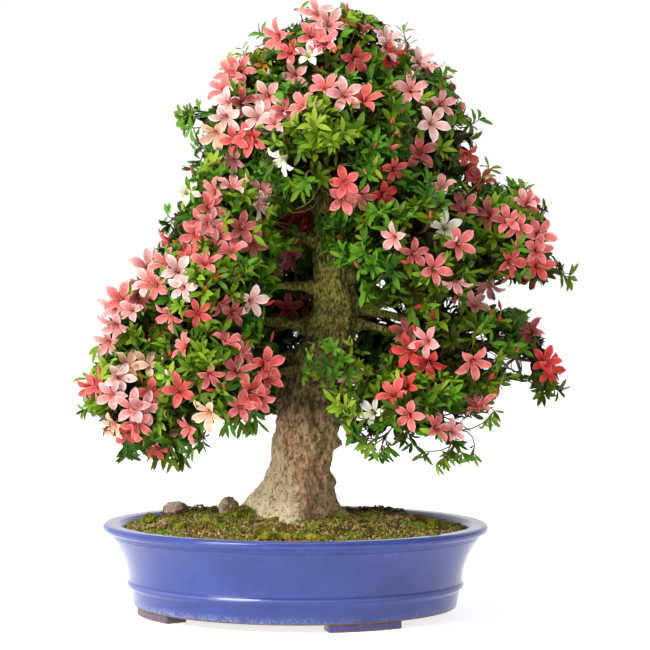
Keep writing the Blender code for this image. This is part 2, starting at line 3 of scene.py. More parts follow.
import bpy
import numpy as np
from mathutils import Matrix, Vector, noise


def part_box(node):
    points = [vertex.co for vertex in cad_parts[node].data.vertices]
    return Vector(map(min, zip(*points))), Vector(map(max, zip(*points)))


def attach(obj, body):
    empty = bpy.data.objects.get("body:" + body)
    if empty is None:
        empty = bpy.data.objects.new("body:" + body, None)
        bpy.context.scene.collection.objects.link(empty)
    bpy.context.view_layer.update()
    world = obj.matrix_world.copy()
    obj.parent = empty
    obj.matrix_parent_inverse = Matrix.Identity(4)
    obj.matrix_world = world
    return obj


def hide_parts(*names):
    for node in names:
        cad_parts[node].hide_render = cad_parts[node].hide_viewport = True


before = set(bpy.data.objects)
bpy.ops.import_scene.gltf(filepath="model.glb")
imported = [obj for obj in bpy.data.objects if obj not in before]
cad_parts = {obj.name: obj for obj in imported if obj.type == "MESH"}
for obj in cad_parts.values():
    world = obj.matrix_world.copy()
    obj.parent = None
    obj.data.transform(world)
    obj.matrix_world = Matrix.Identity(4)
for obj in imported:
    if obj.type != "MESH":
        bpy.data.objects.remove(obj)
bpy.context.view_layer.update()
bpy.ops.object.select_all(action="DESELECT")

# Place of the tree: all sizes below are millimetres from the middle of the pot's underside, and
# this section turns them into metres in the frame.
MM = 0.001
pot_low, pot_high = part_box("pot")
pot_middle = np.array(((pot_low.x + pot_high.x) / 2, (pot_low.y + pot_high.y) / 2, 0.0))


def in_frame(points):
    return np.asarray(points, float) * MM + pot_middle


# Camera: 2.53 m in front of the pot, a little right of its middle and above the soil, looking
# slightly down. The same numbers tell where a place on the tree shows in the picture.
EYE = np.array((33.0, -2530.0, 362.0))
DOWNWARD = 0.0186
FOCAL = 2300.0
MIDDLE_PIXEL = 325.0
SENSOR = 36.0
lens = bpy.data.cameras.new("camera")
lens.sensor_width = SENSOR
lens.lens = SENSOR * FOCAL / (2 * MIDDLE_PIXEL)
camera = bpy.data.objects.new("camera", lens)
camera.location = in_frame(EYE)
camera.rotation_euler = (math.radians(90) - DOWNWARD, 0, 0)
bpy.context.scene.collection.objects.link(camera)
bpy.context.scene.camera = camera
bpy.context.scene.view_settings.view_transform = "Standard"


def in_picture(points):
    """Column, row and distance at which places on the tree show in the picture."""
    away = np.asarray(points, float) - EYE
    ahead = away[..., 1] * math.cos(DOWNWARD) - away[..., 2] * math.sin(DOWNWARD)
    above = away[..., 1] * math.sin(DOWNWARD) + away[..., 2] * math.cos(DOWNWARD)
    column = MIDDLE_PIXEL + FOCAL * away[..., 0] / ahead
    return column, MIDDLE_PIXEL - FOCAL * above / ahead, ahead


def sight_line(column, row):
    """The direction from the camera through one pixel of the picture."""
    across, above = (column - MIDDLE_PIXEL) / FOCAL, (MIDDLE_PIXEL - row) / FOCAL
    way = np.array(
        (
            across,
            math.cos(DOWNWARD) + above * math.sin(DOWNWARD),
            above * math.cos(DOWNWARD) - math.sin(DOWNWARD),
        )
    )
    return way / np.linalg.norm(way)


# Studio: a white floor in a white room, with four large soft lights: the key high in front on the
# left, a low one under it, a weak one on the right, and one overhead.
bpy.ops.mesh.primitive_plane_add(size=14, location=(0, 0, 0))
floor = bpy.context.object
floor.name = "floor"
white = bpy.data.materials.new("studio_white")
white.use_nodes = True
WHITE = {
    "Base Color": (0.58, 0.58, 0.58, 1),
    "Roughness": 0.9,
    "Emission Color": (1, 1, 1, 1),
    "Emission Strength": 0.74,
}
for socket, value in WHITE.items():
    white.node_tree.nodes["Principled BSDF"].inputs[socket].default_value = value
floor.data.materials.append(white)
room = bpy.data.worlds.new("studio_room")
room.use_nodes = True
nodes, links = room.node_tree.nodes, room.node_tree.links
nodes["Background"].inputs["Color"].default_value = (1, 1, 1, 1)
direction = nodes.new("ShaderNodeTexCoord")
axes = nodes.new("ShaderNodeSeparateXYZ")
# The room is brightest behind on the left, and dims towards the front on the right.
towards_back_left = nodes.new("ShaderNodeMath")
towards_back_left.operation = "MULTIPLY_ADD"
towards_back_left.inputs[1].default_value = -0.8
dimmer = nodes.new("ShaderNodeMapRange")
for socket, value in (("From Min", -1.1), ("From Max", 0.8), ("To Min", 0.26), ("To Max", 1.04)):
    dimmer.inputs[socket].default_value = value
links.new(direction.outputs["Generated"], axes.inputs["Vector"])
links.new(axes.outputs["X"], towards_back_left.inputs[0])
links.new(axes.outputs["Y"], towards_back_left.inputs[2])
links.new(towards_back_left.outputs["Value"], dimmer.inputs["Value"])
links.new(dimmer.outputs["Result"], nodes["Background"].inputs["Strength"])
bpy.context.scene.world = room
SOFT_LIGHTS = (
    # name, place in metres, side in metres, power in watts
    ("key_light", (-1.6, -1.5, 1.9), 1.2, 72),
    ("low_left_light", (-2.1, -1.9, 0.45), 1.2, 17),
    ("right_light", (1.9, -1.3, 1.1), 1.2, 3),
    ("top_light", (-0.1, 0.1, 2.3), 1.2, 17),
)
LIT_SPOT = Vector((0, 0, 0.33))
for name, spot, side, power in SOFT_LIGHTS:
    lamp = bpy.data.lights.new(name, "AREA")
    lamp.size, lamp.energy = side, power
    light = bpy.data.objects.new(name, lamp)
    light.location = spot
    towards = LIT_SPOT - Vector(spot)
    light.rotation_euler = towards.to_track_quat("-Z", "Y").to_euler()
    bpy.context.scene.collection.objects.link(light)


# Pot: one oval bowl of stoneware, thrown and pressed, with a flat lip, a belt low on its wall and
# four feet. It is glazed blue, and the clay shows brown where the glaze ends under the wall.
class Wire:
    """A socket of a material. Sums and products of wires add the nodes that work them out."""

    def __init__(self, tree, socket):
        self.tree, self.socket = tree, socket

    def node(self, kind, settings, sockets, output=0):
        made = self.tree.nodes.new(f"ShaderNode{kind}")
        for name, value in settings.items():
            setattr(made, name, value)
        for name, value in sockets.items():
            self.join(value, made.inputs[name])
        return Wire(self.tree, made.outputs[output])

    def join(self, value, socket):
        if isinstance(value, Wire):
            self.tree.links.new(value.socket, socket)
        elif isinstance(value, tuple) and len(value) == 3 and socket.type == "RGBA":
            socket.default_value = (*value, 1)
        else:
            socket.default_value = value

    def maths(self, operation, first, second=0.0):
        return self.node("Math", {"operation": operation}, {0: first, 1: second})

    def __add__(self, other):
        return self.maths("ADD", self, other)

    def __mul__(self, other):
        return self.maths("MULTIPLY", self, other)

    def __sub__(self, other):
        return self.maths("SUBTRACT", self, other)

    def __rsub__(self, other):
        return self.maths("SUBTRACT", other, self)

    __radd__ = __add__
    __rmul__ = __mul__

    def between(self, low, high):
        """0 where this is under low, 1 where it is over high, and eased between them."""
        settings = {"interpolation_type": "SMOOTHSTEP"}
        return self.node("MapRange", settings, {"Value": self, "From Min": low, "From Max": high})

    def colours(self, low, high):
        """One colour where this is 0, and another where it is 1."""
        return self.node("Mix", {"data_type": "RGBA"}, {0: self, 6: low, 7: high}, 2)

    def along(self, axis):
        """One of the three numbers of a place."""
        return self.node("SeparateXYZ", {}, {0: self}, axis)

    def mottle(self, scale, detail, roughness=0.5):
        """Cloudy noise over places, with its patches this many to a metre."""
        sockets = {"Vector": self, "Scale": scale, "Detail": detail, "Roughness": roughness}
        return self.node("TexNoise", {}, sockets, "Fac")

    def paint(self, shader, socket="Base Color"):
        self.join(self, shader.inputs[socket])

    def emboss(self, shader, strength, distance):
        """Lets light fall as if the surface stood out where this is high."""
        sockets = {"Height": self, "Strength": strength, "Distance": distance}
        self.node("Bump", {}, sockets, "Normal").paint(shader, "Normal")


def finish(name, roughness, **shine):
    """A new material, with its shader and the place of each point on the object in metres."""
    made = bpy.data.materials.new(name)
    made.use_nodes = True
    shader = made.node_tree.nodes["Principled BSDF"]
    shader.inputs["Roughness"].default_value = roughness
    for socket, value in shine.items():
        shader.inputs[socket.replace("_", " ")].default_value = value
    place = Wire(made.node_tree, None).node("TexCoord", {}, {}, "Object")
    return made, shader, place


def choose(*bodies):
    """Selects these objects and no others; the last one is active."""
    bpy.ops.object.select_all(action="DESELECT")
    for body in bodies:
        body.select_set(True)
        bpy.context.view_layer.objects.active = body


def close_up(weld=0.0):
    """Welds points nearer than this in metres, turns all faces outward and ends the edit."""
    bpy.ops.mesh.select_all(action="SELECT")
    if weld:
        bpy.ops.mesh.remove_doubles(threshold=weld)
    bpy.ops.mesh.normals_make_consistent(inside=False)
    bpy.ops.object.mode_set(mode="OBJECT")


def turned_ring(name, sides, profile):
    """A closed body drawn out of a disc, ring by ring, along a profile of (radius, height)."""
    bpy.ops.object.select_all(action="DESELECT")
    radius, height = profile[0]
    bpy.ops.mesh.primitive_circle_add(vertices=sides, radius=radius * MM, fill_type="NGON")
    body = bpy.context.object
    body.name = name
    body.data.name = name
    bpy.ops.object.mode_set(mode="EDIT")
    bpy.ops.mesh.select_all(action="SELECT")
    bpy.ops.transform.translate(value=(0, 0, height * MM))
    for next_radius, next_height in profile[1:]:
        rise = {"value": (0, 0, (next_height - height) * MM)}
        bpy.ops.mesh.extrude_region_move(TRANSFORM_OT_translate=rise)
        part = next_radius / radius
        bpy.ops.transform.resize(value=(part, part, 1))
        radius, height = next_radius, next_height
    close_up()
    return body


POT_TURN = math.radians(-20)
POT_RATIO = 0.933
POT_SIDES = 176
INSIDE_FLOOR, INSIDE_FLOOR_RADIUS, INSIDE_RIM_RADIUS, RIM_TOP = 16, 167.5, 193.5, 98
INSIDE_FLARE = 1.35


def inner_radius(height):
    part = (height - INSIDE_FLOOR) / (RIM_TOP - INSIDE_FLOOR)
    return INSIDE_FLOOR_RADIUS + (INSIDE_RIM_RADIUS - INSIDE_FLOOR_RADIUS) * part**INSIDE_FLARE


def rounded(corners):
    """A profile whose corners, given as radius, height and softness, are each worn round."""
    made = []
    spots = [np.array(corner[:2], float) for corner in corners]
    for k, (radius, height, soft) in enumerate(corners):
        if not soft or k in (0, len(corners) - 1):
            made.append((radius, height))
            continue
        here, before, after = spots[k], spots[k - 1], spots[k + 1]
        start = here + (before - here) * min(soft / np.linalg.norm(before - here), 0.45)
        end = here + (after - here) * min(soft / np.linalg.norm(after - here), 0.45)
        for part in (0, 0.25, 0.5, 0.75, 1):
            spot = start * (1 - part) ** 2 + here * 2 * part * (1 - part) + end * part**2
            made.append(tuple(spot))
    return made


def set_oval(body):
    """Squeezes a round body to the pot's oval, turns it on the table and puts it in place."""
    body.scale = (1, POT_RATIO, 1)
    body.rotation_euler = (0, 0, POT_TURN)
    body.location = pot_middle
    bpy.ops.object.transform_apply(location=True, rotation=True, scale=True)


# The wall flares out from the belt to the lip in twelve steps.
WALL_STEPS, WALL_FLARE = 12, 1.9
WALL_RADIUS, WALL_SPREAD, WALL_TOP, WALL_HEIGHT = 185, 18.5, 83.6, 47.6
flare = []
for step in range(WALL_STEPS, -1, -1):
    down = step / WALL_STEPS
    spread = WALL_SPREAD * (1 - down) ** WALL_FLARE
    flare.append((WALL_RADIUS + spread, WALL_TOP - WALL_HEIGHT * down, 0))
pot_profile = rounded(
    [
        # underside and foot of the wall, then the belt
        (176, 8.2, 0), (178.6, 8.2, 1.2), (180.4, 18, 0),
        (182.4, 27.4, 1.6), (186.9, 30.4, 1.8), (187, 33.4, 1.8), (185.4, 36, 1.0),
        *flare[1:],
        # lip, from its lower edge over the top to its inner edge
        (203.4, 84.6, 0.5), (204.6, 85.2, 0.5), (205.4, 88.4, 1.6), (210.6, 89.4, 1.8),
        (213.4, 91.4, 2.2), (213.4, 95.6, 2.4), (210.2, 98, 2.4), (196.4, 97.6, 2),
        (inner_radius(94), 94, 1.4), (inner_radius(72), 72, 0), (inner_radius(45), 45, 0),
        (INSIDE_FLOOR_RADIUS, INSIDE_FLOOR + 0.6, 0), (40, INSIDE_FLOOR + 0.6, 0),
    ]
)
pot = turned_ring("blue_pot", POT_SIDES, pot_profile)
set_oval(pot)

# Four low feet under the wall's lower edge: directions and span in degrees, width, reach and top.
FOOT_ANGLES = (45, 135, 225, 315)
FOOT_SPAN, FOOT_WIDTH, FOOT_OUTER, FOOT_TOP = 28, 26, 177, 9.2
feet = []
for number, angle in enumerate(FOOT_ANGLES):
    bpy.ops.object.select_all(action="DESELECT")
    bpy.ops.mesh.primitive_plane_add(size=1)
    foot = bpy.context.object
    foot.name = f"foot_{number}"
    turn = math.radians(angle + FOOT_SPAN / 2)
    foot.scale = (FOOT_WIDTH * MM, FOOT_TOP * MM, 1)
    foot.rotation_euler = (math.radians(90), 0, turn)
    middle = (FOOT_OUTER - FOOT_WIDTH / 2) * MM
    foot.location = (middle * math.cos(turn), middle * math.sin(turn), FOOT_TOP / 2 * MM)
    bpy.ops.object.transform_apply(location=True, rotation=True, scale=True)
    bpy.ops.object.mode_set(mode="EDIT")
    bpy.ops.mesh.select_all(action="SELECT")
    bpy.ops.mesh.spin(steps=14, angle=math.radians(FOOT_SPAN), center=(0, 0, 0), axis=(0, 0, 1))
    close_up(weld=0.00001)
    bevel = foot.modifiers.new("worn_edge", "BEVEL")
    bevel.width = 0.9 * MM
    bevel.segments = 3
    bevel.limit_method = "ANGLE"
    bpy.ops.object.modifier_apply(modifier=bevel.name)
    set_oval(foot)
    feet.append(foot)
choose(*feet, pot)
bpy.ops.object.join()
bpy.ops.object.shade_smooth_by_angle(angle=math.radians(38))

glaze, shader, place = finish("blue_glaze", 0.2, Coat_Weight=0.2, Coat_Roughness=0.08, IOR=1.45)
height = place.along("Z")
cloud = place.mottle(22.0, 5.0, 0.6)
grain = place.mottle(620.0, 2.0)
blue = cloud.between(0.32, 0.7).colours((0.0255, 0.043, 0.220), (0.0350, 0.057, 0.268))
specks = grain.between(0.66, 0.74)
blue = (specks * 0.35).colours(blue, (0.15, 0.19, 0.42))
dark_specks = grain.between(0.30, 0.22)
blue = (dark_specks * 0.55).colours(blue, (0.015, 0.023, 0.12))
# The glaze runs thin on the lip and on the belt's edge, and the paler blue there is also a painted
# highlight.
belt_edge = height.between(0.0322, 0.0336) * (1 - height.between(0.0344, 0.036))
thin_glaze_and_highlight = height.between(0.0968, 0.0979) + belt_edge
blue = (thin_glaze_and_highlight * 0.40).colours(blue, (0.17, 0.20, 0.42))
streak = place.mottle(95.0, 6.0, 0.7)
side = place.along("X") - float(pot_middle[0])
# Pale lime left by water stands above the clay line, most of it on the left.
lime = height.between(0.0190, 0.0098) * height.between(0.0080, 0.0084)
lime = lime * (streak.between(0.40, 0.62) * 0.35 + grain.between(0.42, 0.60) * 0.65)
lime = lime * (cloud.between(0.34, 0.56) * 0.6 + 0.4) * (0.35 + side.between(0.06, -0.06) * 0.65)
blue = (lime * 0.6).colours(blue, (0.36, 0.42, 0.50))
clay_line = height.between(0.0104, 0.0088)
clay = streak.between(0.3, 0.7).colours((0.10, 0.052, 0.028), (0.20, 0.115, 0.065))
foot_glaze = height.between(0.0012, 0.0026) * (1 - height.between(0.0062, 0.0074)) * 0.85
foot_glaze = foot_glaze * (1 - side.between(-0.06, -0.12) * (0.45 + streak.between(0.4, 0.6) * 0.4))
skin = (clay_line * (1 - foot_glaze)).colours(blue, clay)
skin.paint(shader)
rough = 0.17 + lime * 0.45 + clay_line * (1 - foot_glaze) * 0.5 + streak.between(0.4, 0.8) * 0.08
rough.paint(shader, "Roughness")
waves = place.mottle(60.0, 2.0)
uneven = waves * 0.7 + grain * 0.12 + lime * 0.5
uneven.emboss(shader, 0.22, 0.0006)
pot.data.materials.clear()
pot.data.materials.append(glaze)
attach(pot, "root")
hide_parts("pot")

# Soil: a low mound of fired clay granules with moss grown through it, filled to just under the
# lip and level round the trunk. Its body is one dark mound; granules and moss lie on it.
SOIL_LEVEL, SOIL_LEVEL_RADIUS, SOIL_EDGE = 104, 96, 92
SOIL_GAP = 0.3
soil_edge_radius = inner_radius(SOIL_EDGE) - SOIL_GAP


def soil_height(x, y):
    """Height of the mound at places on it."""
    along = x * math.cos(POT_TURN) + y * math.sin(POT_TURN)
    across = (y * math.cos(POT_TURN) - x * math.sin(POT_TURN)) / POT_RATIO
    part = (np.hypot(along, across) - SOIL_LEVEL_RADIUS) / (soil_edge_radius - SOIL_LEVEL_RADIUS)
    part = np.clip(part, 0, 1)
    return SOIL_EDGE + (SOIL_LEVEL - SOIL_EDGE) * (1 + np.cos(np.pi * part)) / 2


SOIL_RINGS, SOIL_SPOKES = 56, 150
soil_sides = [(inner_radius(level) - SOIL_GAP, level) for level in (INSIDE_FLOOR + 1, 45, 72, 91)]
soil_top = [(soil_edge_radius * (1 - k / SOIL_RINGS) + 2, SOIL_EDGE) for k in range(1, SOIL_RINGS)]
soil = turned_ring("soil_mound", SOIL_SPOKES, [*soil_sides, (soil_edge_radius, SOIL_EDGE), *soil_top])
set_oval(soil)
LUMP_SIZE, LUMP_RISE, CRUMB_SIZE, CRUMB_RISE, SUNK = 22, 2.2, 5, 1.3, 1.4
for vert in soil.data.vertices:
    spot = (np.array(vert.co) - pot_middle) / MM
    if spot[2] < SOIL_EDGE - 0.5:
        continue
    lump = noise.fractal(Vector(spot) / LUMP_SIZE, 0.9, 2.0, 3) * LUMP_RISE
    lump += noise.noise(Vector(spot) / CRUMB_SIZE) * CRUMB_RISE
    vert.co.z = (soil_height(spot[0], spot[1]) + lump - SUNK) * MM
choose(soil)
bpy.ops.object.shade_smooth()
earth, shader, place = finish("dark_earth", 0.95, Specular_IOR_Level=0.1)
crumbs = place.mottle(260.0, 4.0)
patches = place.mottle(30.0, 3.0)
earth_colour = crumbs.between(0.35, 0.68).colours((0.028, 0.020, 0.009), (0.15, 0.11, 0.045))
earth_colour = (patches.between(0.40, 0.56) * 0.75).colours(earth_colour, (0.105, 0.105, 0.014))
earth_colour.paint(shader)
crumbs.emboss(shader, 0.8, 0.0015)
soil.data.materials.append(earth)
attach(soil, "root")
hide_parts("soil")

# Granules: crushed fired clay and pumice, 1 to 5 mm, in tan, ochre, orange, brown and grey. They
# are poured on the mound, and lie bedded in it and in one another.
rng = np.random.default_rng(26)


def plain(name, colour, roughness, **shine):
    """A material with one plain colour."""
    made, shader, _ = finish(name, roughness, **{"Specular_IOR_Level": 0.22, **shine})
    shader.inputs["Base Color"].default_value = (*colour, 1)
    return made


def mesh_of(name, points, triangles, slots, materials, smooth=True):
    """One object from points in millimetres and their triangles, each with its material."""
    mesh = bpy.data.meshes.new(name)
    mesh.from_pydata(in_frame(points), [], triangles)
    mesh.polygons.foreach_set("material_index", np.asarray(slots, np.int32))
    mesh.polygons.foreach_set("use_smooth", np.full(len(mesh.polygons), smooth))
    for each in materials:
        mesh.materials.append(each)
    mesh.update()
    made = bpy.data.objects.new(name, mesh)
    bpy.context.scene.collection.objects.link(made)
    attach(made, "root")
    return made


def any_turns(count):
    """Random turns, as matrices."""
    q = rng.normal(size=(count, 4))
    w, x, y, z = (q / np.linalg.norm(q, axis=1)[:, None]).T
    rows = (
        (1 - 2 * (y * y + z * z), 2 * (x * y - z * w), 2 * (x * z + y * w)),
        (2 * (x * y + z * w), 1 - 2 * (x * x + z * z), 2 * (y * z - x * w)),
        (2 * (x * z - y * w), 2 * (y * z + x * w), 1 - 2 * (x * x + y * y)),
    )
    return np.array(rows).transpose(2, 0, 1)


def copies(shape, triangles, spots, turns, sizes):
    """Copies of one small shape: their points, and their triangles numbered on."""
    points = np.einsum("nij,nvj->nvi", turns, shape[None] * sizes[:, None, :]) + spots[:, None, :]
    counted = np.arange(len(spots))[:, None, None] * len(shape)
    return points.reshape(-1, 3), (triangles[None] + counted).reshape(-1, 3)


def on_soil(count):
    """Random places on the mound, clear of a small disc at its middle."""
    radius = np.sqrt(rng.uniform(0.02, 1, count)) * (soil_edge_radius - 3)
    angle = rng.uniform(0, math.tau, count)
    along, across = radius * np.cos(angle), radius * np.sin(angle) * POT_RATIO
    x = along * math.cos(POT_TURN) - across * math.sin(POT_TURN)
    y = along * math.sin(POT_TURN) + across * math.cos(POT_TURN)
    return np.stack([x, y, soil_height(x, y)], axis=1)


def mossy(spots, scale=24, offset=3.0):
    """How mossy each place on the mound is, about -0.5 to 0.5."""
    places = [Vector((x / scale, y / scale, offset)) for x, y, _ in spots]
    return np.array([noise.fractal(place, 0.8, 2.0, 3) for place in places])


def near_front(spots):
    """More moss along the front lip, less behind it and on the left."""
    front = np.clip((-85 - spots[:, 1]) / 55, -0.7, 1)
    left = np.clip((-50 - spots[:, 0]) / 60, 0, 1)
    return front * 0.12 - left * 0.05


# The twelve corners and twenty faces of the rough grain that every granule is a copy of.
GOLDEN = (1 + math.sqrt(5)) / 2
signs = ((-1, 1), (1, 1), (-1, -1), (1, -1))
corners = [(x, y * GOLDEN, 0) for x, y in signs]
corners += [(0, x, y * GOLDEN) for x, y in signs]
corners += [(y * GOLDEN, 0, x) for x, y in signs]
ico = np.array(corners) / math.hypot(1, GOLDEN)
ico_faces = np.array(
    [(0, 11, 5), (0, 5, 1), (0, 1, 7), (0, 7, 10), (0, 10, 11), (1, 5, 9), (5, 11, 4), (11, 10, 2)]
    + [(10, 7, 6), (7, 1, 8), (3, 9, 4), (3, 4, 2), (3, 2, 6), (3, 6, 8), (3, 8, 9), (4, 9, 5)]
    + [(2, 4, 11), (6, 2, 10), (8, 6, 7), (9, 8, 1)]
)
GRANULES = 8200
spots = on_soil(GRANULES)
bare = mossy(spots) + near_front(spots) < rng.normal(0.04, 0.14, GRANULES)
spots = spots[bare]
count = len(spots)
sizes = rng.uniform(0.8, 1.9, count)[:, None] * rng.uniform(0.7, 1.2, (count, 3))
spots[:, 2] += sizes.mean(axis=1) * rng.uniform(-0.3, 0.7, count)
points, triangles = copies(ico, ico_faces, spots, any_turns(count), sizes)
GRANULE_COLOURS = (
    ("granule_tan", (0.46, 0.33, 0.155), 0.30),
    ("granule_ochre", (0.46, 0.33, 0.075), 0.18),
    ("granule_orange", (0.40, 0.125, 0.030), 0.035),
    ("granule_brown", (0.172, 0.098, 0.040), 0.305),
    ("granule_grey", (0.25, 0.20, 0.120), 0.13),
    ("granule_pale", (0.60, 0.50, 0.30), 0.05),
)
granule_finishes = [plain(name, colour, 0.9) for name, colour, _ in GRANULE_COLOURS]
shares = [share for _, _, share in GRANULE_COLOURS]
slots = np.repeat(rng.choice(len(shares), count, p=shares), len(ico_faces))
granules = mesh_of("granules", points, triangles, slots, granule_finishes, smooth=False)

# Moss: cushions and a thin carpet of short upright shoots, 1 to 3 mm high, bright green where it
# is fresh and olive or yellow where it is dry. It is rooted on the granules.
blade = np.array([(-0.5, -0.3, 0), (0.5, -0.3, 0), (0, 0.55, 0), (0.1, 0.25, 1.0)])
blade_faces = np.array([(0, 1, 3), (1, 2, 3), (2, 0, 3)])
MOSS_COLOURS = (
    ("moss_bright", (0.150, 0.300, 0.014)),
    ("moss_green", (0.225, 0.260, 0.020)),
    ("moss_olive", (0.310, 0.220, 0.033)),
    ("moss_yellow", (0.440, 0.350, 0.040)),
    ("moss_dark", (0.085, 0.066, 0.016)),
)
moss_finishes = [plain(name, colour, 0.9, Specular_IOR_Level=0.1) for name, colour in MOSS_COLOURS]
MOSS_SHOOTS = 36000
spots = on_soil(MOSS_SHOOTS)
spots = spots[mossy(spots) + near_front(spots) > rng.normal(-0.04, 0.09, MOSS_SHOOTS)]
spots[:, 2] += mossy(spots, 9, 4.0) * 4.0 + 0.5
fresh = mossy(spots, 30, 11.0) + rng.normal(0, 0.11, len(spots))
shade = np.digitize(fresh, (-0.20, 0.0, 0.10, 0.20, 0.34))
tone = np.array([4, 2, 4, 3, 1, 0])[shade]

# The cushions that stand above the soil: name, place, half sizes and how deep each is sunk. Only
# the first three are solids too.
CUSHIONS = (
    ("moss_foot", (-84, -44), (24, 18, 8), 9), ("moss_rim_left", (-163, 18), (9, 12, 10), 8),
    ("moss_rim_right", (152, -46), (9, 12, 10), 8), ("moss_by_root", (-58, -28), (20, 13, 16), 17),
    ("moss_by_front_root", (-22, -62), (10, 8, 6), 7), ("moss_right_of_foot", (46, -34), (13, 10, 6), 7),
    ("moss_back_left", (-112, 70), (44, 15, 11), 12), ("moss_back_right", (92, 96), (34, 14, 9), 10),
    ("moss_front", (-22, -140), (27, 13, 6), 7), ("moss_front_right", (24, -144), (16, 10, 5), 6),
    ("moss_left_front", (-120, -60), (16, 9, 5), 6),
)
CUSHION_SHOOTS = 1500
mound_points, mound_faces, cushion_spots = [], [], []
for _, (x, y), radii, sunk in CUSHIONS:
    middle = np.array((x, y, soil_height(x, y) + radii[2] - sunk))
    around = rng.normal(size=(CUSHION_SHOOTS, 3))
    around /= np.linalg.norm(around, axis=1)[:, None]
    around[:, 2] = np.abs(around[:, 2])
    lumps = [noise.fractal(Vector(way * radii / 8 + middle / 7), 0.9, 2.0, 3) for way in around]
    around *= (0.74 + 0.42 * np.clip(lumps, -0.9, 0.6))[:, None]
    cushion_spots.append(middle + around * radii)
    mound_points.append(ico * np.array(radii) * 0.62 + middle)
    mound_faces.append(ico_faces + len(ico) * len(mound_faces))
cushion_spots = np.concatenate(cushion_spots)
all_spots = np.concatenate([spots, cushion_spots])
fresh = mossy(cushion_spots, 11, 17.0) + rng.normal(0, 0.13, len(cushion_spots))
fresh -= np.where(cushion_spots[:, 1] > 50, 0.22, -0.08)
cushion_tone = np.array([4, 2, 4, 1, 0, 3])[np.digitize(fresh, (-0.22, -0.06, 0.0, 0.12, 0.30))]
tone = np.concatenate([tone, cushion_tone])
count = len(all_spots)
MOSS_SIZES = ((0.8, 1.5), (0.8, 1.5), (1.2, 3.0))
lean = rng.normal(0, 0.28, (count, 2))
upright = np.zeros((count, 3, 3))
roll = rng.uniform(0, math.tau, count)
upright[:, 0, 0], upright[:, 0, 1] = np.cos(roll), -np.sin(roll)
upright[:, 1, 0], upright[:, 1, 1] = np.sin(roll), np.cos(roll)
upright[:, 0, 2], upright[:, 1, 2], upright[:, 2, 2] = lean[:, 0], lean[:, 1], 1
sizes = np.stack([rng.uniform(low, high, count) for low, high in MOSS_SIZES], axis=1)
points, triangles = copies(blade, blade_faces, all_spots, upright, sizes)
slots = np.repeat(tone, len(blade_faces))
mounds = np.concatenate(mound_points)
triangles = np.concatenate([triangles, np.concatenate(mound_faces) + len(points)])
points = np.concatenate([points, mounds])
slots = np.concatenate([slots, np.full(len(ico_faces) * len(CUSHIONS), 4)])
moss = mesh_of("moss_carpet", points, triangles, slots, moss_finishes)
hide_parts("moss_foot", "moss_rim_left", "moss_rim_right")

# Stones: a flat brown pebble at the back on the left, bedded in a cushion of moss, and a pale,
# rounded piece of root beside the trunk, bedded in the soil.
STONES = (
    # name, solid, place, half sizes, how deep it is sunk, darkest and palest colour
    ("flat_stone", "stone_flat", (-136, 66), (15, 10, 8), -2, (0.30, 0.185, 0.135), (0.60, 0.44, 0.36)),
    ("pale_stone", "stone_pale", (-74, 16), (12, 14, 14), 7, (0.24, 0.15, 0.085), (0.60, 0.47, 0.32)),
)
for name, node, (x, y), radii, sunk, dark, pale in STONES:
    bpy.ops.object.select_all(action="DESELECT")
    bpy.ops.mesh.primitive_ico_sphere_add(subdivisions=5, radius=1)
    stone = bpy.context.object
    stone.name = name
    middle = np.array((x, y, soil_height(x, y) + radii[2] - sunk))
    for vert in stone.data.vertices:
        rough = noise.fractal(vert.co * 1.6 + Vector((x, y, 0)), 0.8, 2.0, 5) * 0.16
        ridge = abs(noise.noise(vert.co * 3.1 + Vector((y, x, 4)))) * 0.10
        vert.co = Vector(in_frame(middle + np.array(vert.co) * (0.97 + rough - ridge) * radii))
    bpy.ops.object.shade_smooth()
    rock, shader, place = finish(f"{name}_face", 0.85)
    veins = place.mottle(130.0, 6.0, 0.65)
    rock_colour = veins.between(0.36, 0.64).colours(dark, pale)
    rock_colour.paint(shader)
    veins.emboss(shader, 0.7, 0.001)
    stone.data.materials.append(rock)
    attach(stone, "root")
    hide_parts(node)

# Trunk: old azalea wood, stout and fluted, with a broad flare of roots at the soil, a knot on the
# right and a swollen collar where the first boughs leave. It tapers up through the whole crown.
TRUNK = (
    # height, middle across and back, half width
    (98, 0, 2, 50), (104, 0, 2, 47), (114, 0, 2, 43), (126, 3, 1, 38.5), (140, 6, 0, 33.5), (158, 7, 0, 29),
    (178, 10, -1, 30), (208, 16, -2, 34), (232, 19, 0, 34), (256, 24, 2, 32.5), (280, 31, 4, 30),
    (304, 39, 4, 26), (330, 43, 2, 24), (362, 41, 0, 21.5), (392, 38, -1, 18), (420, 35, 0, 14),
    (450, 32.5, 1, 9.8), (494, 31.5, 2, 7.6), (538, 35, 1, 6), (572, 38, 0, 4.6),
)
# Roots: direction and half width in degrees, and reach.
ROOTS = ((185, 26, 17), (-12, 24, 13), (-98, 22, 27), (72, 30, 20), (232, 16, 9), (128, 20, 12))
FLARE_HEIGHT = 34
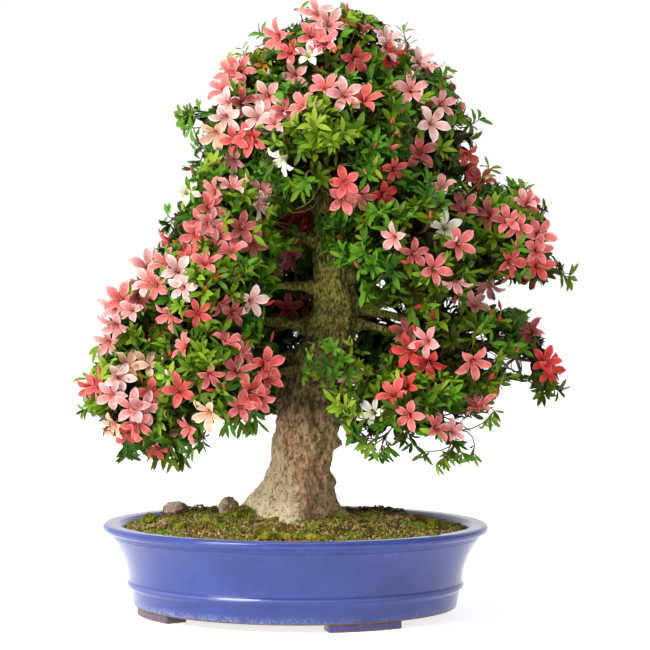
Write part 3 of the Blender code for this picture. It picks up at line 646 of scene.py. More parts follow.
# The deep furrow that winds up the front, from the foot to the first boughs: height and direction.
FURROW = ((104, -30), (114, -31), (128, -43), (156, -49), (181, -46), (205, -62), (222, -84), (244, -98))
FURROW_DEPTH, FURROW_WIDTH, FURROW_TOP = 7.5, 7.5, 262
KNOTS = (
    # height, direction in degrees, reach, size along the trunk, size across in degrees
    (146, -14, 4.5, 7, 14), (186, -8, 11, 6, 12), (170, -10, 3, 12, 22), (126, 187, 10, 18, 24),
    (166, 184, 5, 34, 36), (290, 198, 7, 15, 26), (316, 190, 8, 12, 24), (262, 186, 5, 20, 22),
    (128, -78, 5, 13, 16), (240, -60, 4, 12, 20), (212, -125, -4, 22, 12), (150, -128, -3, 20, 9),
    (134, -98, -3, 22, 9), (196, -112, 4, 16, 12), (176, -76, 3, 20, 12), (338, -20, 4, 14, 24),
)
stations = np.array(TRUNK, float)


def trunk_at(height):
    """Centre and half width of the trunk at a height, eased between its stations."""
    height = min(max(height, stations[0, 0]), stations[-1, 0])
    k = min(int(np.searchsorted(stations[:, 0], height, "right")) - 1, len(stations) - 2)
    low, high = stations[k], stations[k + 1]
    before, after = stations[max(k - 1, 0)], stations[min(k + 2, len(stations) - 1)]
    step = high[0] - low[0]
    part = (height - low[0]) / step
    slope_low = (high - before) / (high[0] - before[0]) * step
    slope_high = (after - low) / (after[0] - low[0]) * step
    eased = (
        (2 * part**3 - 3 * part**2 + 1) * low
        + (part**3 - 2 * part**2 + part) * slope_low
        + (3 * part**2 - 2 * part**3) * high
        + (part**3 - part**2) * slope_high
    )
    return np.array((eased[1], eased[2], height)), eased[3]


def bark_relief(spot, thick):
    """How far the bark stands out at a spot: plates, furrows, pits, grain, and knobs higher up."""
    x, y, z = spot

    def grid(x, wide, long):
        return Vector((x / wide, y / wide, z / long))

    leaning = x + z * 0.35
    plates = noise.fractal(grid(leaning, 9, 26), 0.9, 2.0, 3) * 1.9
    lumps = noise.noise(grid(x, 15, 20)) * 3.0
    furrows = -abs(noise.noise(grid(leaning, 12, 45))) * 3.0
    pits = -max(0.0, noise.noise(grid(x, 2.6, 4.2)) - 0.24) * 5.5
    grain = noise.fractal(grid(x, 2.6, 4.5), 0.9, 2.0, 2) * 0.7
    under_boughs = max(0.0, 1 - abs(z - 242) / 50)
    knobs = noise.fractal(grid(x, 9, 11), 0.8, 2.0, 2) * 4.2 * under_boughs
    coarse = (plates + lumps + furrows + pits + knobs + 1.2) * min(thick / 30, 1.0)
    return coarse + grain * min(thick / 12, 1.0)


def wrapped(name, columns, rows, spot_at):
    """A grid wrapped round a limb by a rule for each row and column, closed at both ends."""
    bpy.ops.object.select_all(action="DESELECT")
    bpy.ops.mesh.primitive_grid_add(x_subdivisions=columns, y_subdivisions=rows, size=1)
    limb = bpy.context.object
    limb.name = name
    points = np.zeros((rows + 1, columns + 1, 3))
    for row in range(rows + 1):
        for column in range(columns):
            points[row, column] = spot_at(row / rows, math.tau * column / columns)
        points[row, columns] = points[row, 0]
    for end in (0, rows):
        points[end, :] = points[end, :columns].mean(axis=0)
    limb.data.vertices.foreach_set("co", in_frame(points.reshape(-1, 3)).ravel())
    bpy.ops.object.mode_set(mode="EDIT")
    close_up(weld=0.000005)
    bpy.ops.object.shade_smooth()
    return limb


def trunk_spot(part, angle):
    height = TRUNK[0][0] + (TRUNK[-1][0] - TRUNK[0][0]) * part
    centre, half = trunk_at(height)

    def away_from(direction):
        return (math.degrees(angle) - direction + 180) % 360 - 180

    flutes = 0.06 * math.cos(5 * angle + height / 60)
    fine_flutes = 0.025 * math.cos(11 * angle - height / 34)
    radius = half * (1 + flutes + fine_flutes)
    flare = max(0.0, 1 - (height - SOIL_LEVEL) / FLARE_HEIGHT) ** 1.6
    for direction, width, reach in ROOTS:
        radius += reach * min(flare, 1.25) * math.exp(-((away_from(direction) / width) ** 2))
    for level, direction, reach, tall, wide in KNOTS:
        radius += reach * math.exp(-(((height - level) / tall) ** 2) - (away_from(direction) / wide) ** 2)
    furrow = np.interp(height, *zip(*FURROW)) + 6 * math.sin(height / 7)
    fading = min(max((FURROW_TOP - height) / 30, 0.0), 1.0)
    radius -= FURROW_DEPTH * math.exp(-((away_from(furrow) / FURROW_WIDTH) ** 2)) * fading
    outward = np.array((math.cos(angle), math.sin(angle), 0))
    spot = centre + radius * outward
    return spot + bark_relief(spot, half) * outward


TRUNK_SPOKES, TRUNK_RINGS = 200, 400
limbs = [wrapped("trunk_bark", TRUNK_SPOKES, TRUNK_RINGS, trunk_spot)]

# Boughs: each leaves the trunk by a swollen collar, bows up a little, tapers, and ends inside its
# mass of foliage. The names, places and sizes of the masses are those of the solids.
MASSES = (
    # name, middle, half sizes, height at which its bough leaves the trunk, half width there
    ("apex", (35, 0, 601), (88, 70, 66), None, 4.6),
    ("shoulder_left", (-45, -5, 535), (75, 80, 70), 468, 4.6),
    ("shoulder_right", (127, 0, 531), (80, 82, 79), 450, 4.8),
    ("crown_front", (44, -82, 500), (85, 72, 79), 434, 4.6),
    ("crown_back", (39, 90, 504), (108, 78, 97), 442, 5.0),
    ("left_mid", (-80, -10, 433), (81, 88, 68), 402, 5.0),
    ("left_upper", (-92, -66, 353), (71, 76, 56), 353, 6.0),
    ("left_low", (-154, 15, 318), (69, 86, 73), 308, 7.0),
    ("left_tip", (-172, -10, 230), (68, 82, 68), 284, 5.5),
    ("left_front", (-77, -80, 258), (70, 76, 72), 262, 5.0),
    ("right_mid", (116, -72, 403), (79, 76, 77), 378, 5.0),
    ("right_tip", (223, 5, 409), (73, 80, 64), 362, 6.0),
    ("right_low", (170, -10, 293), (83, 86, 66), 318, 5.5),
    ("right_end", (257, 20, 275), (47, 58, 51), 334, 4.6),
    ("right_droop", (130, -50, 213), (78, 78, 63), 296, 5.0),
    ("front_sprig", (33, -80, 285), (40, 30, 30), 290, 3.6),
    ("back_left", (-82, 118, 287), (109, 80, 99), 324, 6.5),
    ("back_right", (142, 118, 304), (115, 80, 104), 342, 6.5),
    ("back_mid", (27, 118, 408), (109, 74, 86), 392, 5.5),
)
BOUGH_TIP_RADIUS, BOUGH_REACH, BOUGH_LONGEST, BOUGH_RISE = 2.8, 0.62, 0.6, 0.10
BOUGH_SWELL, BOUGH_TAPER = 1.25, 1.4
BOUGH_SPOKES, BOUGH_RINGS = 26, 44


def bowed(start, middle, end, part):
    """A point, or points, along a curve that starts towards its middle and ends at its end."""
    part = np.asarray(part, float)[..., None]
    return start * (1 - part) ** 2 + middle * 2 * part * (1 - part) + end * part**2


def around_limb(onward):
    """Two directions square to a limb's own."""
    side = np.cross(onward, (0, 0, 1.0) if abs(onward[2]) < 0.9 else (1.0, 0, 0))
    side /= np.linalg.norm(side)
    return side, np.cross(side, onward)


# Where each bough ends with its direction and half width there, and all limbs in straight pieces.
bough_ends = {}
segments = []
for name, centre, radii, leaves_at, thick in MASSES:
    centre, radii = np.array(centre, float), np.array(radii, float)
    if leaves_at is None:
        end, half = trunk_at(TRUNK[-1][0])
        bough_ends[name] = (end, np.array((0, 0, 1.0)), half * 0.95)
        continue
    start, half = trunk_at(leaves_at)
    back = start - centre
    scale = 1 / np.linalg.norm(back / radii)
    end = centre + back * min(scale * BOUGH_REACH, BOUGH_LONGEST)
    middle = (start + end) / 2 + (0, 0, BOUGH_RISE * np.linalg.norm(end - start))
    length = np.linalg.norm(end - start)
    swell = thick * BOUGH_SWELL - BOUGH_TIP_RADIUS

    def bough_spot(part, angle):
        centre_here = bowed(start, middle, end, part)
        onward = bowed(start, middle, end, part + 0.01) - bowed(start, middle, end, part - 0.01)
        onward /= np.linalg.norm(onward)
        side, up = around_limb(onward)
        radius = BOUGH_TIP_RADIUS + swell * (1 - part) ** BOUGH_TAPER
        past_bark = max(part * length - half * 0.85, 0.0)
        radius += thick * 0.95 * math.exp(-((past_bark / 12) ** 2))
        lumps = noise.noise(Vector((part * length / 14, math.cos(angle), math.sin(angle) + centre[0])))
        radius *= 1 + 0.24 * lumps
        outward = side * math.cos(angle) + up * math.sin(angle)
        spot = centre_here + outward * radius
        fine = noise.noise(Vector(spot) / 3.0) * 0.8 - abs(noise.noise(Vector(spot) / 7)) * 1.4
        return spot + outward * fine * min(radius / 6, 1.2)

    limbs.append(wrapped(f"bough_{name}_bark", BOUGH_SPOKES, BOUGH_RINGS, bough_spot))
    parts = np.linspace(0, 1, 9)
    path = bowed(start, middle, end, parts)
    widths = BOUGH_TIP_RADIUS + swell * (1 - parts) ** BOUGH_TAPER
    segments += zip(path, path[1:], widths, widths[1:])
    bough_ends[name] = (end, (end - path[-2]) / np.linalg.norm(end - path[-2]), BOUGH_TIP_RADIUS * 0.95)
PIECE = 9
for height in range(SOIL_LEVEL, TRUNK[-1][0], PIECE):
    (low, low_half), (high, high_half) = trunk_at(height), trunk_at(height + PIECE)
    segments.append((low, high, low_half * 1.06, high_half * 1.06))

trunk = limbs[0]
choose(*limbs[1:], trunk)
bpy.ops.object.join()
bark, shader, place = finish("azalea_bark", 0.86, Specular_IOR_Level=0.12)
height = place.along("Z")
side = place.along("X") - float(pot_middle[0])
lengthways = {"Vector": place, "Scale": (1.0, 1.0, 0.45), "Rotation": (0.0, 0.35, 0.0)}
stretch = place.node("Mapping", {}, lengthways)
fibre = stretch.mottle(230.0, 8.0, 0.75)
broad = stretch.mottle(60.0, 5.0, 0.65)
blotch = place.mottle(34.0, 5.0, 0.62)
flecks = stretch.mottle(400.0, 4.0, 0.65)
pale = fibre.between(0.36, 0.54).colours((0.56, 0.39, 0.19), (1.0, 0.83, 0.53))
brown = fibre.between(0.36, 0.58).colours((0.25, 0.140, 0.060), (0.90, 0.65, 0.37))
red_brown = fibre.between(0.38, 0.60).colours((0.175, 0.072, 0.030), (0.86, 0.50, 0.255))
olive_brown = fibre.between(0.38, 0.61).colours((0.088, 0.058, 0.019), (0.56, 0.41, 0.165))
rise = height + (blotch - 0.5) * 0.05
# A band of redder wood winds from the upper left to the foot's right, with olive bark beyond it.
above_foot = height.maths("MAXIMUM", height, 0.15)
winding = side + above_foot * 0.4 + (broad - 0.5) * 0.06
wood = (rise.between(0.118, 0.165) * (0.35 + winding.between(0.040, 0.064) * 0.65)).colours(pale, brown)
band = winding.between(0.060, 0.072) * winding.between(0.098, 0.086)
wood = (band * (0.35 + broad.between(0.36, 0.56) * 0.5)).colours(wood, red_brown)
wood = (winding.between(0.086, 0.100) * 0.8).colours(wood, olive_brown)
dark_patch = blotch.between(0.42, 0.34) * rise.between(0.110, 0.150) * 0.5
wood = dark_patch.colours(wood, (0.085, 0.055, 0.024))
# The wood is darkened under the first boughs as painted shade, and covered with lichen above them.
painted_shade_under_boughs = rise.between(0.200, 0.232)
painted_shade_wood = fibre.between(0.38, 0.60).colours((0.030, 0.019, 0.007), (0.215, 0.155, 0.066))
wood = (painted_shade_under_boughs * 0.85).colours(wood, painted_shade_wood)
lichen = blotch.between(0.36, 0.60).colours((0.066, 0.050, 0.012), (0.200, 0.178, 0.026))
lichen = (flecks.between(0.48, 0.60) * 0.8).colours(lichen, (0.35, 0.34, 0.085))
# Near black where the fine flecks sink: painted shade in the lichen's hollows.
lichen = (flecks.between(0.47, 0.38) * 0.85).colours(lichen, (0.024, 0.018, 0.005))
lichen_share = rise.between(0.246, 0.292) * (0.72 + blotch.between(0.30, 0.62) * 0.28)
wood = lichen_share.colours(wood, lichen)
in_patches = 0.35 + broad.between(0.55, 0.42) * 0.65
# Near black in the bark's pits, where the bump sinks as well: painted shade.
pits = flecks.between(0.46, 0.37) * in_patches * (1 - lichen_share * 0.6)
wood = (pits * 0.9).colours(wood, (0.036, 0.023, 0.012))
wood.paint(shader)
rough = 0.80 + lichen_share * 0.14
rough.paint(shader, "Roughness")
relief = fibre * 0.8 + flecks * 0.35
relief.emboss(shader, 0.9, 0.0022)
trunk.data.materials.clear()
trunk.data.materials.append(bark)
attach(trunk, "root")
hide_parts("trunk", *[f"bough_{row[0]}" for row in MASSES if row[3] is not None])


# Growth: from the end of each bough a stem goes on into the mass's own room, an ellipsoid cut by a
# plane towards each neighbour. The stem forks into shoots in evenly spread directions, these into
# forks, and these into fine twigs that end near the room's edge.
class Space:
    def __init__(self, centre, radii):
        self.centre, self.radii = np.array(centre, float), np.array(radii, float)
        self.planes = []

    def full(self, directions):
        """How far the uncut ellipsoid reaches in each direction."""
        return 1 / np.linalg.norm(directions / self.radii, axis=-1)

    def part_from(self, other):
        apart = other.centre - self.centre
        distance = np.linalg.norm(apart)
        direction = apart / distance
        mine = np.linalg.norm(self.radii * direction)
        theirs = np.linalg.norm(other.radii * direction)
        if mine + theirs > distance:
            self.planes.append((direction, distance * mine / (mine + theirs)))

    def reach(self, directions):
        """How far the room reaches in each direction, up to its planes."""
        distance = self.full(directions)
        for normal, limit in self.planes:
            towards = directions @ normal
            cut = np.where(towards > 1e-6, limit / np.maximum(towards, 1e-6), np.inf)
            distance = np.minimum(distance, cut)
        return distance

    def at(self, directions, share):
        """Places at a share of the way from the middle to the room's edge."""
        return self.centre + directions * (self.reach(directions) * share)[:, None]


def even_directions(count, turn):
    """Directions spread evenly over a sphere along a spiral."""
    k = np.arange(count)
    rise = 1 - 2 * (k + 0.5) / count
    flat = np.sqrt(1 - rise * rise)
    angle = math.pi * (3 - math.sqrt(5)) * k + turn
    return np.stack([flat * np.cos(angle), flat * np.sin(angle), rise], axis=1)


def unit(vectors):
    return vectors / np.maximum(np.linalg.norm(vectors, axis=-1, keepdims=True), 1e-9)


def limb_gap(points):
    """The clearance between each point and the nearest trunk or bough."""
    starts = np.array([row[0] for row in segments])
    along = np.array([row[1] for row in segments]) - starts
    first, last = (np.array([row[k] for row in segments]) for k in (2, 3))
    gaps = []
    for block in np.array_split(points, max(1, len(points) // 6000)):
        away = block[:, None, :] - starts[None]
        part = np.clip((away * along).sum(2) / (along * along).sum(1), 0, 1)
        nearest = starts + part[..., None] * along
        gap = np.linalg.norm(block[:, None, :] - nearest, axis=2) - first - (last - first) * part
        gaps.append(gap.min(axis=1))
    return np.concatenate(gaps)


# Outline of the crown, and the openings through which the picture shows the trunk or the sky, as
# columns and rows of the picture.
CROWN_OUTLINE = np.array(
    [
        (327, 3), (304, 15), (270, 29), (257, 42), (243, 50), (231, 62), (219, 76), (217, 103), (181, 113),
        (184, 127), (203, 142), (199, 161), (184, 181), (182, 201), (170, 212), (165, 221), (170, 232),
        (152, 246), (140, 274), (110, 292), (101, 350), (82, 380), (78, 410), (100, 427), (106, 437),
        (123, 444), (116, 460), (140, 454), (155, 463), (178, 475), (183, 461), (197, 457), (216, 446),
        (204, 431), (219, 424), (238, 427), (257, 425), (276, 419), (300, 412), (318, 436), (340, 447),
        (365, 447), (385, 442), (408, 446), (420, 436), (436, 442), (452, 448), (463, 452), (470, 440),
        (470, 429), (482, 422), (497, 417), (506, 410), (501, 391), (516, 382), (530, 389), (543, 398),
        (553, 391), (564, 396), (563, 372), (547, 345), (537, 316), (514, 295), (505, 308), (488, 306),
        (482, 292), (500, 284), (520, 284), (541, 291), (576, 277), (553, 250), (547, 228), (554, 207),
        (525, 187), (507, 180), (480, 170), (475, 150), (483, 127), (466, 103), (453, 80), (436, 60),
        (411, 38), (376, 13), (345, 3),
    ],
    float,
)
# Left, right, top and bottom. Nothing may stand in front of the trunk in the first ones.
TRUNK_OPENINGS = (
    (314, 331, 190, 212), (316, 357, 268, 334), (264, 318, 297, 341), (279, 303, 338, 402),
    (352, 390, 322, 351), (270, 324, 398, 530), (322, 345, 428, 530),
)
SKY_OPENINGS = (
    (376, 398, 310, 323), (443, 463, 298, 314), (484, 526, 289, 304), (503, 531, 357, 373),
    (376, 387, 278, 288), (396, 407, 301, 311), (463, 474, 329, 338), (476, 488, 333, 344),
    (485, 496, 349, 359), (480, 491, 362, 372), (442, 453, 412, 424), (328, 338, 35, 43),
    (254, 262, 416, 428), (150, 158, 440, 450), (455, 462, 124, 132), (460, 468, 142, 150),
    (505, 514, 262, 270), (361, 371, 436, 446), (384, 394, 428, 438), (352, 361, 326, 334),
    (395, 403, 262, 270), (430, 438, 314, 322), (466, 474, 345, 353), (497, 505, 330, 338),
    (508, 526, 386, 396), (466, 476, 420, 430), (404, 412, 434, 442), (210, 218, 434, 446),
    (398, 406, 318, 326),
)


def inside_outline(points):
    """How far inside the crown's outline each place is, in pixels; outside it this is negative."""
    column, row, _ = in_picture(points)
    inside = np.zeros(len(column), bool)
    nearest = np.full(len(column), 1e9)
    for (x0, y0), (x1, y1) in zip(CROWN_OUTLINE, np.roll(CROWN_OUTLINE, -1, axis=0)):
        across, down = x1 - x0, y1 - y0
        crosses = (y0 > row) != (y1 > row)
        if down:
            inside ^= crosses & (column < across * (row - y0) / down + x0)
        part = ((column - x0) * across + (row - y0) * down) / (across**2 + down**2)
        part = np.clip(part, 0, 1)
        nearest = np.minimum(nearest, np.hypot(column - x0 - part * across, row - y0 - part * down))
    return np.where(inside, nearest, -nearest)


def in_an_opening(points, openings, nearer_than=np.inf, margin=0):
    """Which places show in an opening and are nearer to the camera than a distance."""
    column, row, ahead = in_picture(points)
    shut = np.zeros(len(points), bool)
    for left, right, top, bottom in openings:
        across = (column > left - margin) & (column < right + margin)
        shut |= across & (row > top - margin) & (row < bottom + margin) & (ahead < nearer_than)
    return shut


# The trunk's distance from the camera, in millimetres.
TRUNK_DISTANCE = 2545
spaces = {name: Space(centre, radii) for name, centre, radii, _, _ in MASSES}
for name, space in spaces.items():
    for other_name, other in spaces.items():
        if other_name != name:
            space.part_from(other)

# Blossoms that show in the picture: column, row and tint. Each is put where the line of sight
# first meets the crown, and gets a twig of its own there.
SEEN_BLOSSOMS = (
    (315, 12, "light"), (331, 21, "light"), (312, 34, "pink"), (324, 40, "pink"), (367, 22, "pink"),
    (389, 34, "blush"), (391, 45, "blush"), (308, 52, "white"), (288, 50, "coral"), (274, 36, "pink"),
    (357, 60, "coral"), (393, 57, "red"), (293, 77, "light"), (326, 83, "pink"), (345, 93, "light"),
    (365, 95, "coral"), (228, 71, "pink"), (240, 67, "pink"), (221, 85, "pink"), (224, 102, "blush"),
    (224, 119, "blush"), (245, 102, "dusty"), (257, 117, "blush"), (271, 119, "light"), (267, 95, "light"),
    (214, 136, "peach"), (234, 140, "coral"), (250, 139, "coral"), (279, 162, "white"), (231, 164, "light"),
    (233, 181, "light"), (186, 189, "white"), (210, 191, "pink"), (211, 206, "pink"), (200, 224, "pink"),
    (211, 224, "light"), (264, 189, "light"), (264, 205, "blush"), (284, 108, "dusty"), (298, 103, "pink"),
    (243, 227, "dusty"), (231, 246, "pink"), (253, 246, "pink"), (205, 259, "pink"), (344, 200, "pink"),
    (362, 200, "pink"), (345, 183, "coral"), (385, 194, "red"), (398, 170, "coral"), (420, 152, "pink"),
    (391, 238, "light"), (430, 64, "light"), (421, 58, "blush"), (412, 88, "light"), (445, 103, "light"),
    (434, 122, "blush"), (441, 183, "light"), (468, 159, "coral"), (473, 171, "coral"), (480, 176, "coral"),
    (465, 205, "dusty"), (507, 218, "pink"), (519, 228, "pink"), (462, 243, "pink"), (416, 254, "dusty"),
    (437, 269, "pink"), (457, 287, "light"), (476, 300, "light"), (487, 290, "light"),
    (525, 196, "light"), (532, 203, "pink"), (542, 233, "pink"), (540, 250, "pink"), (540, 267, "coral"),
    (513, 262, "coral"), (485, 214, "dusty"), (528, 330, "pink"), (406, 352, "red"), (428, 366, "red"),
    (404, 383, "red"), (392, 391, "coral"), (475, 364, "pink"), (547, 360, "red"), (552, 371, "red"),
    (408, 416, "pink"), (480, 402, "pink"), (369, 411, "white"), (440, 426, "pink"), (457, 429, "light"),
    (404, 330, "dusty"), (424, 341, "light"), (288, 258, "pink"), (148, 264, "light"), (162, 259, "pink"),
    (144, 279, "light"), (153, 285, "pink"), (177, 269, "blush"), (181, 288, "blush"), (110, 306, "light"),
    (129, 308, "light"), (119, 298, "pink"), (113, 328, "light"), (105, 344, "light"), (165, 319, "pink"),
    (179, 344, "pink"), (255, 302, "blush"), (229, 337, "pink"), (249, 351, "pink"), (129, 363, "peach"),
    (148, 361, "peach"), (120, 376, "blush"), (211, 378, "pink"), (86, 390, "coral"), (95, 384, "coral"),
    (110, 394, "light"), (132, 407, "light"), (145, 409, "light"), (127, 437, "coral"), (137, 426, "pink"),
    (153, 395, "coral"), (179, 390, "coral"), (184, 431, "pink"), (206, 416, "peach"), (241, 407, "pink"),
    (261, 402, "pink"), (270, 364, "coral"), (271, 376, "coral"), (255, 392, "coral"), (239, 368, "dusty"),
    (225, 308, "dusty"), (198, 314, "coral"), (236, 315, "dusty"), (156, 454, "coral"), (110, 428, "peach"),
    (187, 250, "coral"), (163, 244, "coral"), (192, 236, "pink"), (141, 295, "pink"), (218, 238, "pink"),
)


def first_met(way):
    """The mass that a line of sight meets first, or passes nearest, with the spot and the way out."""
    best = None
    for name, space in spaces.items():
        start, ray = (EYE - space.centre) / space.radii, way / space.radii
        a, b, c = ray @ ray, 2 * start @ ray, start @ start - 1
        inner = b * b - 4 * a * c
        miss = 0 if inner >= 0 else c - b * b / (4 * a)
        distance = (-b - math.sqrt(max(inner, 0))) / (2 * a)
        key = (miss > 0, miss if miss > 0 else distance)
        if best is None or key < best[0]:
            best = (key, name, EYE + way * distance)
    space = spaces[best[1]]
    return best[1], best[2], unit((best[2] - space.centre) / space.radii**2)


def at_depth(way, depth):
    """Where a line of sight comes to this distance behind the middle of the pot."""
    return EYE + way * (depth - EYE[1]) / way[1]


# Each row: mass, place of the twig's end, tint and the way it faces.
blossom_rows = []
jitter = np.random.default_rng(9)
for column, row, tint in SEEN_BLOSSOMS:
    way = sight_line(column, row)
    name, spot, outward = first_met(way)
    face = unit(outward * 0.85 - way * 0.6 + jitter.normal(0, 0.40, 3))
    blossom_rows.append((name, spot - face * 13 - outward * 2, tint, face))
# These few are seen through gaps, deep inside the crown: how far back, and in which mass.
DEEP_BLOSSOMS = (
    (286, 311, "coral", 60, "back_left"), (364, 307, "dusty", 60, "back_right"),
    (306, 304, "dusty", 75, "back_left"), (296, 222, "red", 50, "back_mid"),
    (277, 219, "red", 45, "left_mid"), (308, 216, "red", 50, "back_mid"), (286, 231, "red", 48, "back_mid"),
    (303, 232, "red", 56, "back_mid"), (444, 229, "white", -102, "right_mid"),
)
for column, row, tint, depth, name in DEEP_BLOSSOMS:
    way = sight_line(column, row)
    face = unit(-way + jitter.normal(0, 0.4, 3))
    blossom_rows.append((name, at_depth(way, depth), tint, face))
SEEN_BUDS = (
    (347, 9, "coral"), (269, 72, "light"), (233, 90, "peach"), (293, 124, "peach"), (318, 120, "peach"),
    (315, 108, "light"), (253, 139, "coral"), (247, 178, "peach"), (393, 120, "coral"), (401, 112, "coral"),
    (415, 120, "peach"), (394, 135, "coral"), (393, 147, "coral"), (375, 145, "coral"), (375, 162, "red"),
    (365, 170, "coral"), (398, 93, "coral"), (391, 88, "coral"), (422, 93, "peach"), (448, 77, "coral"),
    (463, 107, "coral"), (357, 265, "coral"), (371, 261, "coral"), (276, 271, "coral"), (206, 288, "red"),
    (139, 333, "red"), (198, 271, "coral"), (186, 254, "coral"), (183, 247, "coral"), (176, 243, "coral"),
    (165, 240, "coral"), (159, 246, "coral"), (154, 252, "pink"), (211, 390, "red"), (224, 388, "red"),
    (151, 437, "red"), (144, 443, "coral"), (163, 358, "peach"), (167, 372, "peach"), (391, 352, "red"),
    (337, 409, "coral"), (350, 404, "coral"), (347, 434, "coral"), (415, 330, "red"), (455, 300, "red"),
    (433, 316, "red"), (499, 318, "red"), (516, 244, "coral"), (500, 306, "red"), (490, 313, "red"),
    (100, 372, "coral"), (106, 365, "red"), (523, 347, "red"), (517, 350, "red"), (491, 377, "red"),
    (200, 236, "red"), (176, 262, "red"), (150, 340, "coral"), (431, 215, "coral"), (405, 262, "red"),
    (220, 165, "coral"), (193, 172, "red"), (170, 352, "red"), (208, 258, "coral"), (420, 306, "red"),
)
# Sprays whose leaves have dried, left over from faded blossoms.
SEEN_HUSKS = (
    (345, 23), (255, 47), (264, 64), (288, 37), (332, 48), (411, 36), (508, 180), (439, 91), (241, 94),
    (110, 430),
)
husk_spots = [first_met(sight_line(*spot))[:2] for spot in SEEN_HUSKS]
bud_rows = []
for column, row, tint in SEEN_BUDS:
    way = sight_line(column, row)
    name, spot, outward = first_met(way)
    face = unit(outward * 0.5 - way * 0.15 + (0, 0, 0.6) + jitter.normal(0, 0.3, 3))
    bud_rows.append((name, spot - face * 6, tint, face))

# Sprigs that stand out of the crown's outline or hang in front of the trunk, by mass: column and row
# of the sprig's end in the picture, and how far in front of the mass's middle it ends.
SPRIGS = {
    "left_tip": ((86, 410, 10), (90, 380, 20), (128, 453, 20)),
    "left_low": ((100, 345, 20),),
    "left_front": ((190, 452, 20), (203, 441, 10)),
    "left_mid": ((167, 214, 0), (171, 224, 20)),
    "shoulder_left": (
        (182, 120, 0), (191, 128, 20), (196, 149, 0), (243, 50, 0), (229, 66, 10), (181, 114, 0),
        (188, 113, 0), (194, 117, 0), (199, 110, 0), (187, 121, 0), (203, 146, 0), (195, 169, 0),
        (201, 160, 0),
    ),
    "right_tip": ((568, 277, 0), (559, 271, 10), (524, 192, 0)),
    "right_end": ((557, 390, 0), (543, 392, 10)),
    "front_sprig": (
        (307, 352, 24), (322, 341, 30), (333, 349, 34), (314, 367, 30), (328, 366, 36), (342, 360, 30),
        (303, 376, 24), (321, 376, 34), (335, 376, 36), (352, 346, 20), (361, 352, 16), (356, 366, 24),
        (366, 372, 14), (348, 376, 30), (340, 395, 24), (350, 390, 20),
    ),
    "right_droop": ((346, 408, 74), (355, 417, 70), (337, 404, 80)),
    "apex": ((300, 12, 0), (262, 34, 0)),
    "shoulder_right": ((404, 33, 0), (447, 70, 0), (478, 120, 0)),
    "right_mid": ((489, 170, 0),),
}
# Sprigs whose leaves hang in a fan below the crown's lower edge.
HANGING_SPRIGS = {
    "left_front": ((240, 420, 34), (256, 418, 24), (227, 421, 30), (248, 419, 28)),
    "left_tip": ((182, 453, 20), (172, 455, 30), (161, 452, 30), (126, 444, 20)),
    "right_droop": (
        (352, 432, 40), (364, 440, 50), (379, 452, 40), (388, 446, 50), (402, 436, 50), (424, 452, 50),
        (437, 464, 50), (444, 457, 40), (462, 453, 30), (473, 455, 20), (457, 441, 30), (490, 416, 20),
        (451, 450, 30), (412, 442, 50), (371, 444, 60), (342, 424, 50), (384, 452, 44),
    ),
    "right_low": ((494, 410, 0),),
    "right_end": ((541, 385, 0),),
}
# The share of its own fine twigs that a mass grows besides the ones named above, where not all.
GROWN_SHARE = {"front_sprig": 0.0}


# Paths of the twigs: four points each with their half widths. Leaves and blossoms hang on the last,
# the fine ones. For each of these, the tips keep its end, ways, depth, mass and path.
TWIG_PARTS = np.array((0, 0.36, 0.7, 1.0))
TWIG_AREA, TWIGS_PER_AREA = 200, 1.45
SHOOTS, FORKS = 13, 62
FEWEST_SHOOTS, FEWEST_FORKS = 6, 16
CLEAR_OF_LIMBS = 6
# A fine twig in one of three layers ends between these shares of the way to the room's edge.
LAYER_SHARES = (0.64, 0.24, 0.12)
LAYER_LOW, LAYER_HIGH = np.array((0.84, 0.62, 0.36)), np.array((1.0, 0.86, 0.64))
# Where the neighbours leave less of the way than this share, only every fourth twig grows.
OPEN_SIDE, SHUT_SIDE_SHARE = 0.66, 0.25
twig_paths, twig_radii = [], []
tips = {"end": [], "onward": [], "outward": [], "depth": [], "mass": [], "path": []}


def add_twigs(starts, middles, ends, first, last):
    """Twigs with these half widths at their first and last points; returns their paths."""
    paths = [bowed(starts, middles, ends, np.full(len(starts), part)) for part in TWIG_PARTS]
    twig_paths.append(np.stack(paths, axis=1))
    twig_radii.append(np.stack([first + (last - first) * part for part in TWIG_PARTS], axis=1))
    return twig_paths[-1]


def on_paths(paths, parts):
    """A point along each path of four points, between its ends."""
    place = np.clip(parts, 0, 0.999) * 3
    k = place.astype(int)
    share = (place - k)[:, None]
    rows = np.arange(len(paths))
    return paths[rows, k] * (1 - share) + paths[rows, k + 1] * share


def forked(parents, part, ends, onward, straight, wobble):
    """Starts on parent twigs, and middles that first lean the way the parents grow."""
    starts = on_paths(parents, part)
    lean = unit(parents[:, 3] - parents[:, 1])
    far = np.linalg.norm(ends - starts, axis=1)[:, None]
    middles = starts + lean * far * onward + (ends - starts) * straight + rng.normal(0, wobble, ends.shape)
    return starts, middles


